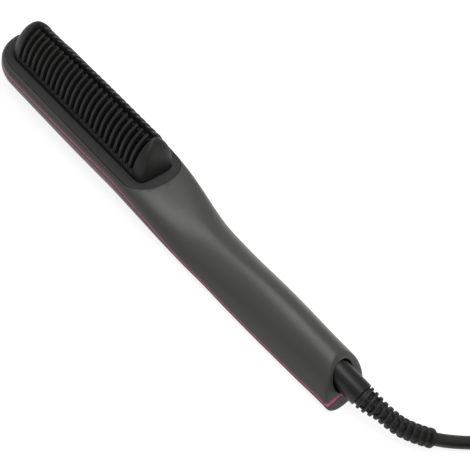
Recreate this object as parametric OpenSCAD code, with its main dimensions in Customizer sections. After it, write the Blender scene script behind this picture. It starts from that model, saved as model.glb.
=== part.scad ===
// Heated straightening comb with a ribbed comb guard, hidden control buttons and a swivel cord.
// Millimetres. +X runs from the head to the cord, +Z points out of the comb. The origin lies on the
// resting surface, halfway between the nose of the head and the end of the swivel barrel.

/* [Body] */
// Length of the housing from the nose to the lower corner of the slanted tail
body_len = 283; // [265:1:310]
// Greatest width of the head
head_w = 45.6; // [43:0.2:50]
// Width at the shoulder, where the head meets the handle
shoulder_w = 42.4; // [39:0.2:45]
// Width at the neck
neck_w = 35.2; // [34.4:0.2:39]
// Width at the middle of the grip
grip_w = 33.6; // [32.8:0.2:38]
// Width at the tail
tail_w = 30.4; // [29:0.2:34]
// Height of the head's top above the grip's seam
head_top = 15.5; // [15.2:0.1:17]
// Height of the shoulder above the grip's seam
shoulder_top = 16.3; // [15.6:0.1:18]
// Height of the neck above the grip's seam
neck_top = 13.6; // [13:0.1:16]
// Height of the grip above the grip's seam
grip_top = 17.9; // [17:0.1:20]
// Height of the tail above the grip's seam
tail_top = 18.4; // [18:0.1:21]
// Height of the head's seam above the grip's seam
head_seam = 9.5; // [8:0.1:10]
// Depth of the flat resting face below the grip's seam
land_drop = 6.2; // [5.8:0.1:7.5]
// Wall of both shells
wall = 2.2; // [1.8:0.1:2.4]
// Thickness of the coloured trim between the shells
trim_t = 1.5; // [1:0.1:2]
// Slope of the tail face, as travel along the body for each unit of height
tail_slope = 0.7; // [0.6:0.05:0.8]
// Thickness of the tail wall along the body
tail_wall = 3.6; // [3:0.1:4.5]

/* [Comb] */
// Number of gaps between the ribs
gap_count = 24; // [20:1:24]
// Distance from one gap to the next
gap_pitch = 4.34; // [4.1:0.02:4.4]
// Width of a gap
gap_w = 1.9; // [1.6:0.1:2.2]
// Distance of the first gap from the nose
first_gap = 20.8; // [20.4:0.1:22]
// Width of the comb guard at its base
guard_w = 25.8; // [25:0.1:27]
// Height of the rib tips above the grip's seam
guard_top = 37.8; // [36:0.1:39]
// Lean of the ribs toward the nose, in degrees
rib_lean = 4.8; // [0:0.1:5]
// Width of the slot between the two rows of rib tips
slot_w = 2.4; // [2:0.1:3]
// Thickness of a rib's wall at its foot
rib_depth = 4.2; // [3.6:0.1:4.6]
// Thickness of a heated tooth
tooth_t = 1.2; // [1:0.1:1.5]

/* [Bezel] */
// Width of the bezel plate
plate_w = 39.6; // [38:0.1:40]
// Height of the plate's face above the grip's seam
plate_top = 14.9; // [14.6:0.1:15.1]
// Thickness of the plate
plate_t = 1.5; // [1.3:0.1:1.8]
// Distance of the plate's front edge from the nose
plate_front = 2.6; // [2.2:0.1:3.5]
// Distance of the plate's rear edge from the nose
plate_rear = 136.4; // [135:0.1:140]

/* [Controls] */
// Radius of the power button
power_r = 5; // [4.4:0.1:5.4]
// Radius of each temperature button
temp_r = 3.8; // [3.2:0.1:4.2]
// Travel of a button
button_travel = 0.5; // [0.3:0.05:0.55]
// Depth of a button's face below the resting face
button_recess = 0.5; // [0.3:0.05:0.8]
// Distance of the power button from the lower corner of the tail
power_from_tail = 69; // [67:0.5:72]
// Distance between two neighbouring buttons
button_pitch = 15; // [14.2:0.1:15.5]

/* [Swivel and cord] */
// Height of the swivel axis above the grip's seam
swivel_z = 7.6; // [7.4:0.1:7.9]
// Radius of the round opening in the tail
outlet_r = 7.95; // [7.7:0.05:8.1]
// Radius of the swivel barrel
barrel_r = 6.5; // [6.2:0.05:6.8]
// How far the swivel barrel stands out past the lower corner of the tail
barrel_out = 8.4; // [6:0.1:12]
// Running clearance of the barrel in its bearing
barrel_gap = 0.06; // [0.02:0.01:0.1]
// Diameter of the mains lead
cord_d = 7; // [6.8:0.1:7]
// Diameter of the middle of the coil's turns
coil_d = 82; // [80:1:84]

/* [Hidden] */

$fn = 48;
// Small overlap that lets cuts run past a face
over = 1;
// Half the trim, which each shell leaves free at the seam
half_trim = trim_t / 2;

// Colours
shell_grey = [0.26, 0.26, 0.255];
matt_black = [0.12, 0.12, 0.12];
guard_black = [0.09, 0.09, 0.09];
trim_pink = [0.85, 0.16, 0.42];
brass = [0.78, 0.62, 0.3];
steel = [0.7, 0.7, 0.72];
board_green = [0.08, 0.3, 0.16];
ceramic_white = [0.88, 0.86, 0.8];
coated_metal = [0.16, 0.16, 0.17];

// ---- Shape of the housing ----
nose_len = 24.2;
nose_top_share = 0.8;
nose_keel_share = 0.3;
shoulder_x = 134;
neck_x = 176;
neck_w_x = 186;
grip_x = 228;
width_knots = [[nose_len, head_w / 2], [124, shoulder_w / 2], [neck_w_x, neck_w / 2],
  [grip_x, grip_w / 2], [body_len, tail_w / 2]];
top_knots = [[nose_len, head_top], [90, (head_top * 2 + shoulder_top) / 3],
  [shoulder_x, shoulder_top], [neck_x, neck_top], [grip_x, grip_top], [body_len, tail_top]];
seam_start = 104;
seam_end = 181;
head_keel = 5.2;
keel_start = 30;
keel_end = 90;
keel_extra = 1;
head_power = 4.3;
grip_power = 1.85;
keel_power = 2;
power_start = 113;
power_end = 175;
roof_extra = 1.5;
roof_start = 136;
roof_end = 152;
shear_start = 230;
tail_round = 1.6;

function clamp01(t) = min(1, max(0, t));
function smooth(t) = clamp01(t) * clamp01(t) * (3 - 2 * clamp01(t));
function blend(a, b, t) = a + (b - a) * smooth(t);

// Smooth curve through the knots, with flat ends
function knot_slope(k, i) = i <= 0 || i >= len(k) - 1 ? 0
  : (k[i + 1][1] - k[i - 1][1]) / (k[i + 1][0] - k[i - 1][0]);
function knot_span(k, x, i = 0) = i >= len(k) - 2 || x < k[i + 1][0] ? i : knot_span(k, x, i + 1);
function hermite(k, x, i, t, w) = k[i][1] * (2 * t * t * t - 3 * t * t + 1)
  + knot_slope(k, i) * w * (t * t * t - 2 * t * t + t)
  + k[i + 1][1] * (3 * t * t - 2 * t * t * t)
  + knot_slope(k, i + 1) * w * (t * t * t - t * t);
function through(k, x, i) = hermite(k, x, i, clamp01((x - k[i][0]) / (k[i + 1][0] - k[i][0])),
  k[i + 1][0] - k[i][0]);
function along(k, x) = through(k, x, knot_span(k, x));

function half_width(x) = along(width_knots, x);
function crown(x) = along(top_knots, x);
function seam(x) = blend(head_seam, 0, (x - seam_start) / (seam_end - seam_start));
function keel(x) = -blend(head_keel, land_drop + keel_extra, (x - keel_start) / (keel_end - keel_start));
function crown_power(x) = blend(head_power, grip_power, (x - power_start) / (power_end - power_start));
function roof_t(x, inset) = inset > 0 ? inset + blend(roof_extra, 0,
  (x - roof_start) / (roof_end - roof_start))
  : rim_inset(x);
function shear(x) = smooth((x - shear_start) / (body_len - shear_start));
// Rounding of the tail's rim
function rim_inset(x) = x < body_len - tail_round ? 0
  : tail_round - sqrt(max(0, pow(tail_round, 2) - pow(x - body_len + tail_round, 2)));

// Stations: [place along the body, share of the full section left at the nose]
nose_angles = [3, 14, 26, 38, 50, 62, 76, 90];
mid_steps = 21;
mid_end = body_len - tail_round - 1;
rim_angles = [0, 30, 60, 90];
nose_stations = [for (a = nose_angles) [1 - cos(a), sin(a)]];
mid_stations = [for (i = [1:mid_steps]) nose_len + (mid_end - nose_len) * i / mid_steps];
rim_stations = [for (a = rim_angles) body_len - tail_round * (1 - sin(a))];
station_count = len(nose_angles) + mid_steps + len(rim_angles);

// Place and nose share of station i, on a skin that lies inset inside the outer one
function station_x(i, inset) = i < len(nose_angles)
  ? nose_len - (nose_len - inset) * (1 - nose_stations[i][0])
  : i < len(nose_angles) + mid_steps ? mid_stations[i - len(nose_angles)]
  : rim_stations[i - len(nose_angles) - mid_steps];
function station_share(i) = i < len(nose_angles) ? nose_stations[i][1] : 1;

function power_y(w, a, p) = w * sign(cos(a)) * pow(abs(cos(a)), 2 / p);
function power_z(h, a, p) = h * pow(abs(sin(a)), 2 / p);

// How far the inner skin's stations move forward, so that it ends at the tail wall
function tail_shift(x, inset) = inset > 0 ? tail_wall * smooth((x - 200) / (body_len - 200)) : 0;
function sheared(x, z, inset) = x - tail_slope * z * shear(x) - tail_shift(x, inset);

segments = 20;
function upper_ring(i, inset) = let (x = station_x(i, inset), share = station_share(i),
    cut = inset > 0 ? inset : rim_inset(x), w = (half_width(x) - cut) * share,
    z0 = seam(x) + half_trim, h = (crown(x) - roof_t(x, inset) - z0) * blend(nose_top_share, 1, share),
    p = crown_power(x))
  [for (j = [0:segments]) let (a = 180 * j / segments, z = z0 + power_z(h, a, p))
    [sheared(x, z, inset), power_y(w, a, p), z]];
function lower_ring(i, inset) = let (x = station_x(i, inset), share = station_share(i),
    cut = inset > 0 ? inset : rim_inset(x), w = (half_width(x) - cut) * share,
    z0 = seam(x) - half_trim, h = (z0 - keel(x) - cut) * (nose_keel_share + (1 - nose_keel_share) * share))
  [for (j = [0:segments]) let (a = 180 * j / segments,
      z = max(z0 - power_z(h, a, keel_power), -land_drop + inset))
    [sheared(x, z, inset), -power_y(w, a, keel_power), z]];

function reversed(v) = [for (i = [len(v) - 1:-1:0]) v[i]];
// Closed solid whose faces are listed counterclockwise, seen from outside
module skin(points, faces) polyhedron(points, [for (f = faces) reversed(f)]);

// A shell between an outer and an inner set of rings, each an arch that starts and ends at the seam
function ring_faces(start, rings, m, flip) = [for (i = [0:rings - 2]) for (j = [0:m - 1])
    let (a = start + i * (m + 1) + j, b = a + 1, c = a + m + 1, d = c + 1)
    each flip ? [[a, c, d], [a, d, b]] : [[a, b, d], [a, d, c]]];
function cap(start, m, flip) = flip ? [for (j = [0:m]) start + j] : [for (j = [m:-1:0]) start + j];
function rim_faces(inner, rings, m) = [for (i = [0:rings - 2])
    let (a = i * (m + 1), b = a + m + 1, c = inner + a, d = inner + b)
    each [[a, b, d], [a, d, c], [a + m, c + m, d + m], [a + m, d + m, b + m]]];
module shell(outer, inner) {
  m = len(outer[0]) - 1;
  n = len(outer);
  inner_start = n * (m + 1);
  last = (n - 1) * (m + 1);
  points = [for (r = outer) each r, for (r = inner) each r];
  faces = [
    each ring_faces(0, n, m, false),
    each ring_faces(inner_start, n, m, true),
    each rim_faces(inner_start, n, m),
    cap(0, m, false),
    cap(last, m, true),
    cap(inner_start, m, true),
    cap(inner_start + last, m, false),
    [0, inner_start, inner_start + m, m],
    [last, last + m, inner_start + last + m, inner_start + last]
  ];
  skin(points, faces);
}

// Filled space under one set of rings
module filled(rings) {
  m = len(rings[0]) - 1;
  n = len(rings);
  skin([for (r = rings) each r], [
    each ring_faces(0, n, m, false),
    each [for (i = [0:n - 2]) let (a = i * (m + 1), b = a + m + 1) [a, b, b + m, a + m]],
    cap(0, m, false),
    cap((n - 1) * (m + 1), m, true)
  ]);
}

// The whole part stands on its resting face, with the origin midway along
module placed() translate([-barrel_end / 2, 0, land_drop]) children();

// Rod along X that starts at x
module x_rod(r, x, length, z = swivel_z, y = 0) translate([x, y, z]) rotate([0, 90, 0]) cylinder(r = r,
  h = length);

// ---- Bezel plate outline and comb outline ----
plate_front_len = 21;
plate_rear_len = 14.4;
outline_steps = 16;
plate_power = 2.2;
guard_front = 6.9;
guard_rear = 129.4;
guard_front_len = first_gap - gap_w / 2 - guard_front;
last_gap = first_gap + (gap_count - 1) * gap_pitch;
guard_rear_len = guard_rear - last_gap - gap_w / 2;

// Closed outline with a rounded end at each side; grow moves it outwards
function capsule(front, rear, front_len, rear_len, w, front_p, rear_p, grow) = [
  for (i = [0:outline_steps]) let (a = -90 + 180 * i / outline_steps)
    [rear - rear_len + (rear_len + grow) * pow(abs(cos(a)), 2 / rear_p),
     (w / 2 + grow) * sign(sin(a)) * pow(abs(sin(a)), 2 / rear_p)],
  for (i = [0:outline_steps]) let (a = 90 + 180 * i / outline_steps)
    [front + front_len - (front_len + grow) * pow(abs(cos(a)), 2 / front_p),
     (w / 2 + grow) * sign(sin(a)) * pow(abs(sin(a)), 2 / front_p)]
];
module plate_outline(grow) polygon(
  capsule(plate_front, plate_rear, plate_front_len, plate_rear_len, plate_w, plate_power, plate_power,
    grow));
module guard_outline(grow) polygon(
  capsule(guard_front, guard_rear, guard_front_len, guard_rear_len, guard_w, nose_power, corner_power,
    grow));
module slab(z, h) translate([0, 0, z]) linear_extrude(h) children();

// ---- Heights of the heating stack ----
plate_bottom = plate_top - plate_t;
ledge_w = 1.2;
seat_gap = 0.15;
guard_gap = 0.4;
flange_t = 2;
flange_grow = 2.4;
flange_bottom = plate_bottom - flange_t;
spreader_t = 1.5;
spreader_bottom = flange_bottom - spreader_t;
heater_t = 1.5;
heater_bottom = spreader_bottom - heater_t;
mica_t = 0.5;
mica_bottom = heater_bottom - mica_t;
clip_t = 0.8;
clip_bottom = mica_bottom - clip_t;
tray_floor = 1.6;
tray_bottom = clip_bottom - tray_floor;

// ---- Circuit board ----
power_x = body_len - power_from_tail;
temp_up_x = power_x - button_pitch;
temp_down_x = power_x - 2 * button_pitch;
led_x = temp_down_x - 14;
board_front = led_x - 7;
board_rear = power_x + 16;
board_w = 19;
board_t = 1.6;
board_posts = [[board_front + 3, 7.1], [board_rear - 3, 6.5]];
board_post_r = 2.4;

// ---- Buttons ----
button_gap = 0.25;
button_face = -land_drop + button_recess;
shell_floor = -land_drop + wall;
button_flange_t = 0.6;
button_flange_w = 0.9;
floor_gap = 0.1;
switch_size = 6;
switch_h = 3.3;
plunger_r = 1.7;
plunger_h = 0.6;
stem_h = 0.2;
press_gap = 0.1;
button_top = shell_floor + floor_gap + button_flange_t + stem_h;
plunger_tip = button_top + press_gap + button_travel;
board_z = plunger_tip + plunger_h + switch_h;

// ---- Screws and posts ----
post_r = 3;
pilot_r = 1.1;
screw_hole_r = 1.6;
screw_head_r = 2.4;
screw_head_t = 1.8;
head_bore_r = 2.7;
seam_low = 8;
head_post_r = 4;
head_posts = [[9.5, 0], [126, 11.5], [126, -11.5]];
front_post_back = 5;
rear_post_back = 45;
shell_posts = [for (y = [12, -12]) [board_front - front_post_back, y],
  for (y = [11, -11]) [body_len - rear_post_back, y]];
head_seat_z = 0.4;
shell_seat_z = -2.6;

// ---- Indicator ----
led_count = 5;
led_pitch = 2.6;
led_size = [1.6, 1.2, 0.8];
lens_len = 14;
lens_w = 3;
lens_gap = 0.1;
pipe_gap = 0.2;

// ---- Swivel ----
barrel_end = body_len + barrel_out;
socket_front = body_len - 37;
socket_rear = socket_front + 17;
flange_front = socket_front + 3;
flange_len = 2.5;
barrel_flange_r = 7.4;
pocket_gap = 0.2;
bearing_front = flange_front + flange_len + pocket_gap;
spindle_front = socket_front - 12.6;
spindle_r = 3;
ring_r = 4.6;
ring_w = 2.6;
ring_places = [spindle_front + 2, spindle_front + 7.6];
trim_ring = 1.5;

// ---- Cord route ----
// Places are measured from the barrel's end. The third number is the height, as a share of the way
// from a lead that lies on the resting face to the swivel axis
relief_route = [[0, 0, 1], [3.3, 0.3, 0.99], [6.8, 1, 0.96], [10.3, 2, 0.91], [13.8, 3, 0.83], [17.3,
  4, 0.75],
  [20.8, 5.2, 0.66], [24.3, 7, 0.56], [27.8, 9.5, 0.46], [31.3, 12.2, 0.36], [34.6, 15.2, 0.26], [37.6,
    18, 0.18]];
lead_route = [[37.6, 18, 0.18], [41.1, 21.4, 0.12], [45.3, 26, 0.06], [49.3, 30.8, 0.02], [53.3, 35.8, 0],
  [57.3, 41, 0], [61.4, 45.1, 0], [66.6, 49.3, 0], [73, 53.5, 0], [81.8, 58.7, 0], [91, 64, 0]];
cord_start = barrel_end / 2;
swivel_height = swivel_z + land_drop;
function laid(r) = [for (p = r) [cord_start + p[0], p[1], cord_d / 2 + p[2] * (swivel_height - cord_d /
  2)]];
// Direction from the lead's end to the middle of the coil
coil_side = [0.5, -0.866];
lead_end = [cord_start + 91, 64];
coil_center = lead_end + coil_side * (coil_d + cord_d) / 2;
coil_rows = 3;
coil_columns = 2;
coil_h = coil_rows * cord_d;
coil_width = coil_columns * cord_d;
// Across, in coil radii from its middle; the third number is the way up from the top turn to the plug
tail_route = [[0, 0.917, 0], [0.237, 0.886, 0.09], [0.327, 0.861, 0.17], [0.503, 0.789, 0.36],
  [0.654, 0.673, 0.58], [0.769, 0.522, 0.79], [0.842, 0.346, 0.94], [0.867, 0.158, 1]];
plug_neck_h = 10.7;
function lifted(r) = [for (p = r) [coil_center[0] + p[0] * coil_d / 2, coil_center[1] + p[1] * coil_d / 2,
  coil_h - cord_d / 2 + p[2] * (cord_d + plug_neck_h) / 2]];
relief_start_r = 6.4;
relief_end_r = 5.1;
relief_ribs = 13;
rib_low = 0.8;
lead_sides = 10;
relief_sides = 16;

// ---- Tube swept along points ----
function unit(v) = v / norm(v);
function tangent(p, i) = unit(p[min(i + 1, len(p) - 1)] - p[max(i - 1, 0)]);
function side_axis(t) = unit(cross([0, 0, 1], t));
function sweep_ring(p, i, r, n) = let (t = tangent(p, i), u = side_axis(t), v = cross(t, u))
  [for (j = [0:n - 1]) p[i] + r * (cos(360 * j / n) * u + sin(360 * j / n) * v)];
function sweep_faces(rings, n) = [
  [for (j = [n - 1:-1:0]) j],
  for (i = [0:rings - 2]) for (j = [0:n - 1]) let (a = i * n + j, b = i * n + (j + 1) % n)
    each [[a, b, b + n], [a, b + n, a + n]],
  [for (j = [0:n - 1]) (rings - 1) * n + j]
];
module tube(points, radii, n) {
  rings = len(points);
  skin([for (i = [0:rings - 1]) each sweep_ring(points, i, radii[i], n)], sweep_faces(rings, n));
}
module even_tube(points, r, n) tube(points, [for (p = points) r], n);

// ================= Housing =================
module upper_shell() color(shell_grey) placed() difference() {
  union() {
    shell([for (i = [0:station_count - 1]) upper_ring(i, 0)],
      [for (i = [0:station_count - 1]) upper_ring(i, wall)]);
    intersection() {
      filled([for (i = [0:station_count - 1]) upper_ring(i, wall / 2)]);
      for (p = shell_posts) translate([p[0], p[1], half_trim]) cylinder(r = post_r, h = shoulder_top);
    }
  }
  slab(plate_bottom, shoulder_top) plate_outline(seat_gap);
  slab(seam_low, shoulder_top) plate_outline(-ledge_w);
  x_rod(outlet_r, body_len - 30, 40);
  for (p = shell_posts) translate([p[0], p[1], 0]) cylinder(r = pilot_r, h = 8);
}

module screw_bore(p, seat, top) translate([p[0], p[1], -land_drop - over]) {
  cylinder(r = head_bore_r, h = seat + land_drop + over);
  cylinder(r = screw_hole_r, h = top + land_drop + 2 * over);
}
module lower_shell() color(shell_grey) placed() difference() {
  union() {
    shell([for (i = [0:station_count - 1]) lower_ring(i, 0)],
      [for (i = [0:station_count - 1]) lower_ring(i, wall)]);
    intersection() {
      filled([for (i = [0:station_count - 1]) lower_ring(i, wall / 2)]);
      union() {
        for (p = head_posts) translate([p[0], p[1], -land_drop]) cylinder(r = head_post_r,
          h = tray_bottom + land_drop);
        for (p = shell_posts) translate([p[0], p[1], -land_drop]) cylinder(r = head_post_r,
          h = land_drop - half_trim);
      }
    }
    for (p = board_posts) translate([p[0], p[1], shell_floor - wall / 2])
      cylinder(r = board_post_r, h = board_z - shell_floor + wall / 2);
    for (p = shell_posts) translate([p[0], p[1], shell_seat_z]) cylinder(r = post_r,
      h = half_trim - shell_seat_z);
  }
  for (p = head_posts) screw_bore(p, head_seat_z, tray_bottom);
  for (p = shell_posts) screw_bore(p, shell_seat_z, half_trim);
  for (p = board_posts) translate([p[0], p[1], shell_floor]) cylinder(r = pilot_r,
    h = board_z - shell_floor + over);
  x_rod(outlet_r + trim_ring, body_len - 30, 40);
  translate([power_x, 0, -land_drop - over]) cylinder(r = power_r + button_gap, h = wall + 2 * over);
  for (x = [temp_up_x, temp_down_x])
    translate([x, 0, -land_drop - over]) cylinder(r = temp_r + button_gap, h = wall + 2 * over);
  translate([led_x, 0, -land_drop - over]) lens_shape(lens_gap, wall + 2 * over);
}

// Coloured band that fills the seam and dips under the round outlet
function band_edge(inset, z_shift, s) = [for (i = [0:station_count - 1]) let (x = station_x(i, inset),
    cut = inset > 0 ? inset : rim_inset(x), z = seam(x) + z_shift)
  [sheared(x, z, inset), s * (half_width(x) - cut) * station_share(i), z]];
function band_loop(inset, z_shift) = concat(band_edge(inset, z_shift, 1), reversed(band_edge(inset,
  z_shift, -1)));
module seam_band() {
  n = 2 * station_count;
  points = concat(band_loop(0, -half_trim), band_loop(0, half_trim),
    band_loop(wall, half_trim), band_loop(wall, -half_trim));
  faces = [for (k = [0:3]) for (i = [0:n - 1])
    let (a = k * n + i, b = k * n + (i + 1) % n, c = ((k + 1) % 4) * n + i,
      d = ((k + 1) % 4) * n + (i + 1) % n)
    each [[a, d, b], [a, c, d]]];
  skin(points, faces);
}
module trim_strip() color(trim_pink) placed() difference() {
  union() {
    seam_band();
    intersection() {
      x_rod(outlet_r + trim_ring, body_len - tail_wall - over, 10);
      translate([body_len, 0, 0]) tail_wedge();
    }
  }
  x_rod(outlet_r, body_len - 30, 40);
}
// The part of the tail wall below the trim's upper face
module tail_wedge() rotate([90, 0, 0]) translate([0, 0, -outlet_r]) linear_extrude(2 * outlet_r)
  polygon([for (z = [half_trim, -4]) [-tail_slope * z, z], for (z = [-4,
    half_trim]) [-tail_slope * z - tail_wall, z]]);

// ================= Head =================
module bezel_plate() color(matt_black) placed() difference() {
  slab(plate_bottom, plate_t) plate_outline(0);
  slab(plate_bottom - over, plate_t + 2 * over) guard_outline(guard_gap);
}

// Rib section in the YZ plane: outer curve, rounded tip, inner curve
guard_base = plate_bottom;
rail_top = 18.4;
rail_step = 0.2;
rib_inner_y = guard_w / 2 - rib_depth;
tip_depth = 4;
tip_round = 0.6;
curve_steps = 9;
function bow(w, top, t) = let (u = 1 - t)
  [w * u * u * u + 3 * w * u * u * t + 3 * 0.7 * w * u * t * t + slot_w / 2 * t * t * t,
   guard_base * u * u * u + 3 * (top - 11.3) * u * u * t + 3 * (top - 2.8) * u * t * t + top * t * t * t];
rib_outer = [for (i = [0:curve_steps]) bow(guard_w / 2, guard_top,
  i / curve_steps) + (i == curve_steps ? [tip_round, 0] : [0, 0])];
rib_inner = [for (i = [curve_steps:-1:0]) bow(rib_inner_y, guard_top - tip_depth, i / curve_steps)];
rib_section = concat(rib_outer, [[slot_w / 2, guard_top - tip_round]], rib_inner);
module across(x, t) translate([x, 0, 0]) rotate([90, 0, 90]) linear_extrude(t) children();
// Thin piece across the comb, centred on x and leaning toward the nose about its foot
module leaning(x, t) translate([x, 0, guard_base]) rotate([0, -rib_lean, 0]) translate([-x, 0, -guard_base])
  across(x - t / 2, t) children();
module rib_pair() {
  polygon(rib_section);
  mirror([1, 0]) polygon(rib_section);
}

// Rounded end of the guard, built up in level layers
layers = 10;
end_steps = 14;
last_layer_angle = 84;
end_drop = 1.6;
end_power = 2.1;
nose_power = 2.1;
corner_power = 4.5;
function end_height(j) = guard_base + (guard_top - end_drop - guard_base) * sin(last_layer_angle * j /
  layers);
function end_share(z) = (z - guard_base) / (guard_top - end_drop - guard_base);
function end_reach(full, z) = full * pow(1 - pow(end_share(z), end_power), 1 / end_power);
// Half the guard's width at a height, by halving the curve's parameter
function bow_at(z, top, lo = 0, hi = 1, n = 12) = n == 0 ? bow(guard_w / 2, top, lo)[0]
  : bow(guard_w / 2, top, (lo + hi) / 2)[1] < z ? bow_at(z, top, (lo + hi) / 2, hi, n - 1)
  : bow_at(z, top, lo, (lo + hi) / 2, n - 1);
function end_layer(x0, side, full, p, z) = [for (i = [0:end_steps]) let (a = -90 + 180 * i / end_steps)
  [x0 + side * end_reach(full, z) * pow(cos(a), 2 / p) - (z - guard_base) * tan(rib_lean),
   bow_at(z, guard_top - end_drop) * sign(sin(a)) * pow(abs(sin(a)), 2 / p), z]];
module guard_end(x0, side, full, p) {
  m = end_steps + 1;
  points = [for (j = [0:layers]) each end_layer(x0, side, full, p, end_height(j))];
  faces = [
    [for (i = [m - 1:-1:0]) i],
    for (j = [0:layers - 1]) for (i = [0:m - 1]) let (a = j * m + i, b = j * m + (i + 1) % m)
      each [[a, b, b + m], [a, b + m, a + m]],
    [for (i = [0:m - 1]) layers * m + i]
  ];
  skin(points, side > 0 ? faces : [for (f = faces) reversed(f)]);
}
first_rib = first_gap - gap_w / 2;
last_rib = last_gap + gap_w / 2;
tray_ears = [[16, 9], [16, -9], [125, 6.6], [125, -6.6]];
module comb_guard() color(guard_black) placed() difference() {
  union() {
    difference() {
      union() {
        slab(flange_bottom, flange_t) guard_outline(flange_grow);
        slab(guard_base, rail_top - guard_base) guard_outline(rail_step);
      }
      translate([first_rib, -rib_inner_y - rail_step, flange_bottom - over])
        cube([last_rib - first_rib, 2 * (rib_inner_y + rail_step), rail_top - flange_bottom + 2 * over]);
    }
    for (k = [0:gap_count - 2]) leaning(first_gap + (k + 0.5) * gap_pitch, gap_pitch - gap_w) rib_pair();
    guard_end(first_rib, -1, guard_front_len, nose_power);
    guard_end(last_rib, 1, guard_rear_len, corner_power);
  }
  for (p = tray_ears) translate([p[0], p[1], flange_bottom - over]) cylinder(r = pilot_r, h = 4);
}

// ================= Heating parts =================
tooth_gap = 0.8;
core_y = rib_inner_y - 1;
core_top = rail_top - 1;
core_inset = 2;
tooth_drop = tip_depth + tooth_gap;
tooth_half = [for (i = [0:curve_steps]) bow(rib_inner_y - tooth_gap, guard_top - tooth_drop,
  i / curve_steps)];
module tooth_shape() polygon(concat(tooth_half, [for (p = reversed(tooth_half)) [-p[0], p[1]]]));
module heating_comb() color(coated_metal) placed() {
  translate([first_rib, -core_y - 1.4, spreader_bottom])
    cube([last_rib - first_rib, 2 * core_y + 2.8, spreader_t]);
  translate([first_rib + core_inset, -core_y, flange_bottom])
    cube([last_rib - first_rib - 2 * core_inset, 2 * core_y, core_top - flange_bottom]);
  for (k = [0:gap_count - 2]) leaning(first_gap + (k + 0.5) * gap_pitch, tooth_t) tooth_shape();
}

heater_len = 80;
heater_w = 9;
heater_x = (first_rib + last_rib - heater_len) / 2;
module heater_layer(z, t, w, grow) translate([heater_x - grow, -w / 2, z]) cube([heater_len + 2 * grow,
  w, t]);
module ceramic_heater() color(ceramic_white) placed() heater_layer(heater_bottom, heater_t, heater_w, 0);
module mica_sheet() color([0.75, 0.68, 0.5]) placed() heater_layer(mica_bottom, mica_t, heater_w + 3, 1);
// Leaf spring that presses the heater up against the comb
module spring_clip() color(steel) placed() {
  heater_layer(clip_bottom, clip_t, heater_w, 1);
}

tray_slack = 0.2;
module heater_tray() color(matt_black) placed() difference() {
  slab(tray_bottom, flange_bottom - tray_bottom) guard_outline(flange_grow);
  translate([first_rib - tray_slack, -core_y - 1.4 - tray_slack, clip_bottom])
    cube([last_rib - first_rib + 2 * tray_slack, 2 * (core_y + 1.4 + tray_slack),
      flange_bottom - clip_bottom + over]);
  for (p = tray_ears) translate([p[0], p[1], tray_bottom - over]) {
    cylinder(r = screw_hole_r, h = 12);
    cylinder(r = head_bore_r, h = screw_head_t + over);
  }
  for (p = head_posts) translate([p[0], p[1], tray_bottom - over]) cylinder(r = pilot_r, h = 5);
  for (y = [-wire_y, 0, wire_y]) x_rod(wire_r + wire_gap, last_rib - over, 16, wire_z, y);
}

sensor_r = 1;
sensor_len = 5;
sensor_gap = 1.2;
module thermistor() color([0.15, 0.15, 0.3]) placed()
  x_rod(sensor_r, heater_wire_end + sensor_gap, sensor_len, spreader_bottom - sensor_r, 0);
fuse_r = 1.3;
fuse_len = 8;
fuse_y = -7.5;
module thermal_fuse() color([0.8, 0.78, 0.7]) placed()
  x_rod(fuse_r, heater_wire_end - fuse_len, fuse_len, clip_bottom + fuse_r, fuse_y);

// Screw with its head downwards
module screw(p, z_head, length) translate([p[0], p[1], z_head]) {
  cylinder(r = screw_head_r, h = screw_head_t);
  translate([0, 0, screw_head_t]) cylinder(r = pilot_r, h = length);
}
module tray_screws() color(steel) placed() for (p = tray_ears)
  screw(p, tray_bottom, flange_bottom - tray_bottom - screw_head_t + 2);
module head_screws() color(steel) placed() for (p = head_posts)
  screw(p, head_seat_z - screw_head_t, tray_bottom - head_seat_z + 3.5);
module shell_screws() color(steel) placed() for (p = shell_posts)
  screw(p, shell_seat_z - screw_head_t, 7 - shell_seat_z);

// ================= Electronics =================
module circuit_board() color(board_green) placed() difference() {
  translate([board_front, -board_w / 2, board_z]) cube([board_rear - board_front, board_w, board_t]);
  for (p = board_posts) translate([p[0], p[1], board_z - over]) cylinder(r = screw_hole_r,
    h = board_t + 2 * over);
}
module board_screws() color(steel) placed() for (p = board_posts) {
  translate([p[0], p[1], board_z + board_t]) cylinder(r = screw_head_r, h = 1.2);
  translate([p[0], p[1], board_z - 3]) cylinder(r = pilot_r, h = 3 + board_t);
}
module tact_switches() color([0.2, 0.2, 0.2]) placed() for (x = [power_x, temp_up_x, temp_down_x]) {
  translate([x - switch_size / 2, -switch_size / 2, board_z - switch_h]) cube([switch_size,
    switch_size, switch_h]);
  translate([x, 0, plunger_tip]) cylinder(r = plunger_r, h = plunger_h);
}
module status_leds() color([0.9, 0.9, 0.8]) placed() for (i = [0:led_count - 1])
  translate([led_x + (i - (led_count - 1) / 2) * led_pitch - led_size[0] / 2, -led_size[1] / 2,
    board_z - led_size[2]])
    cube(led_size);
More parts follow.
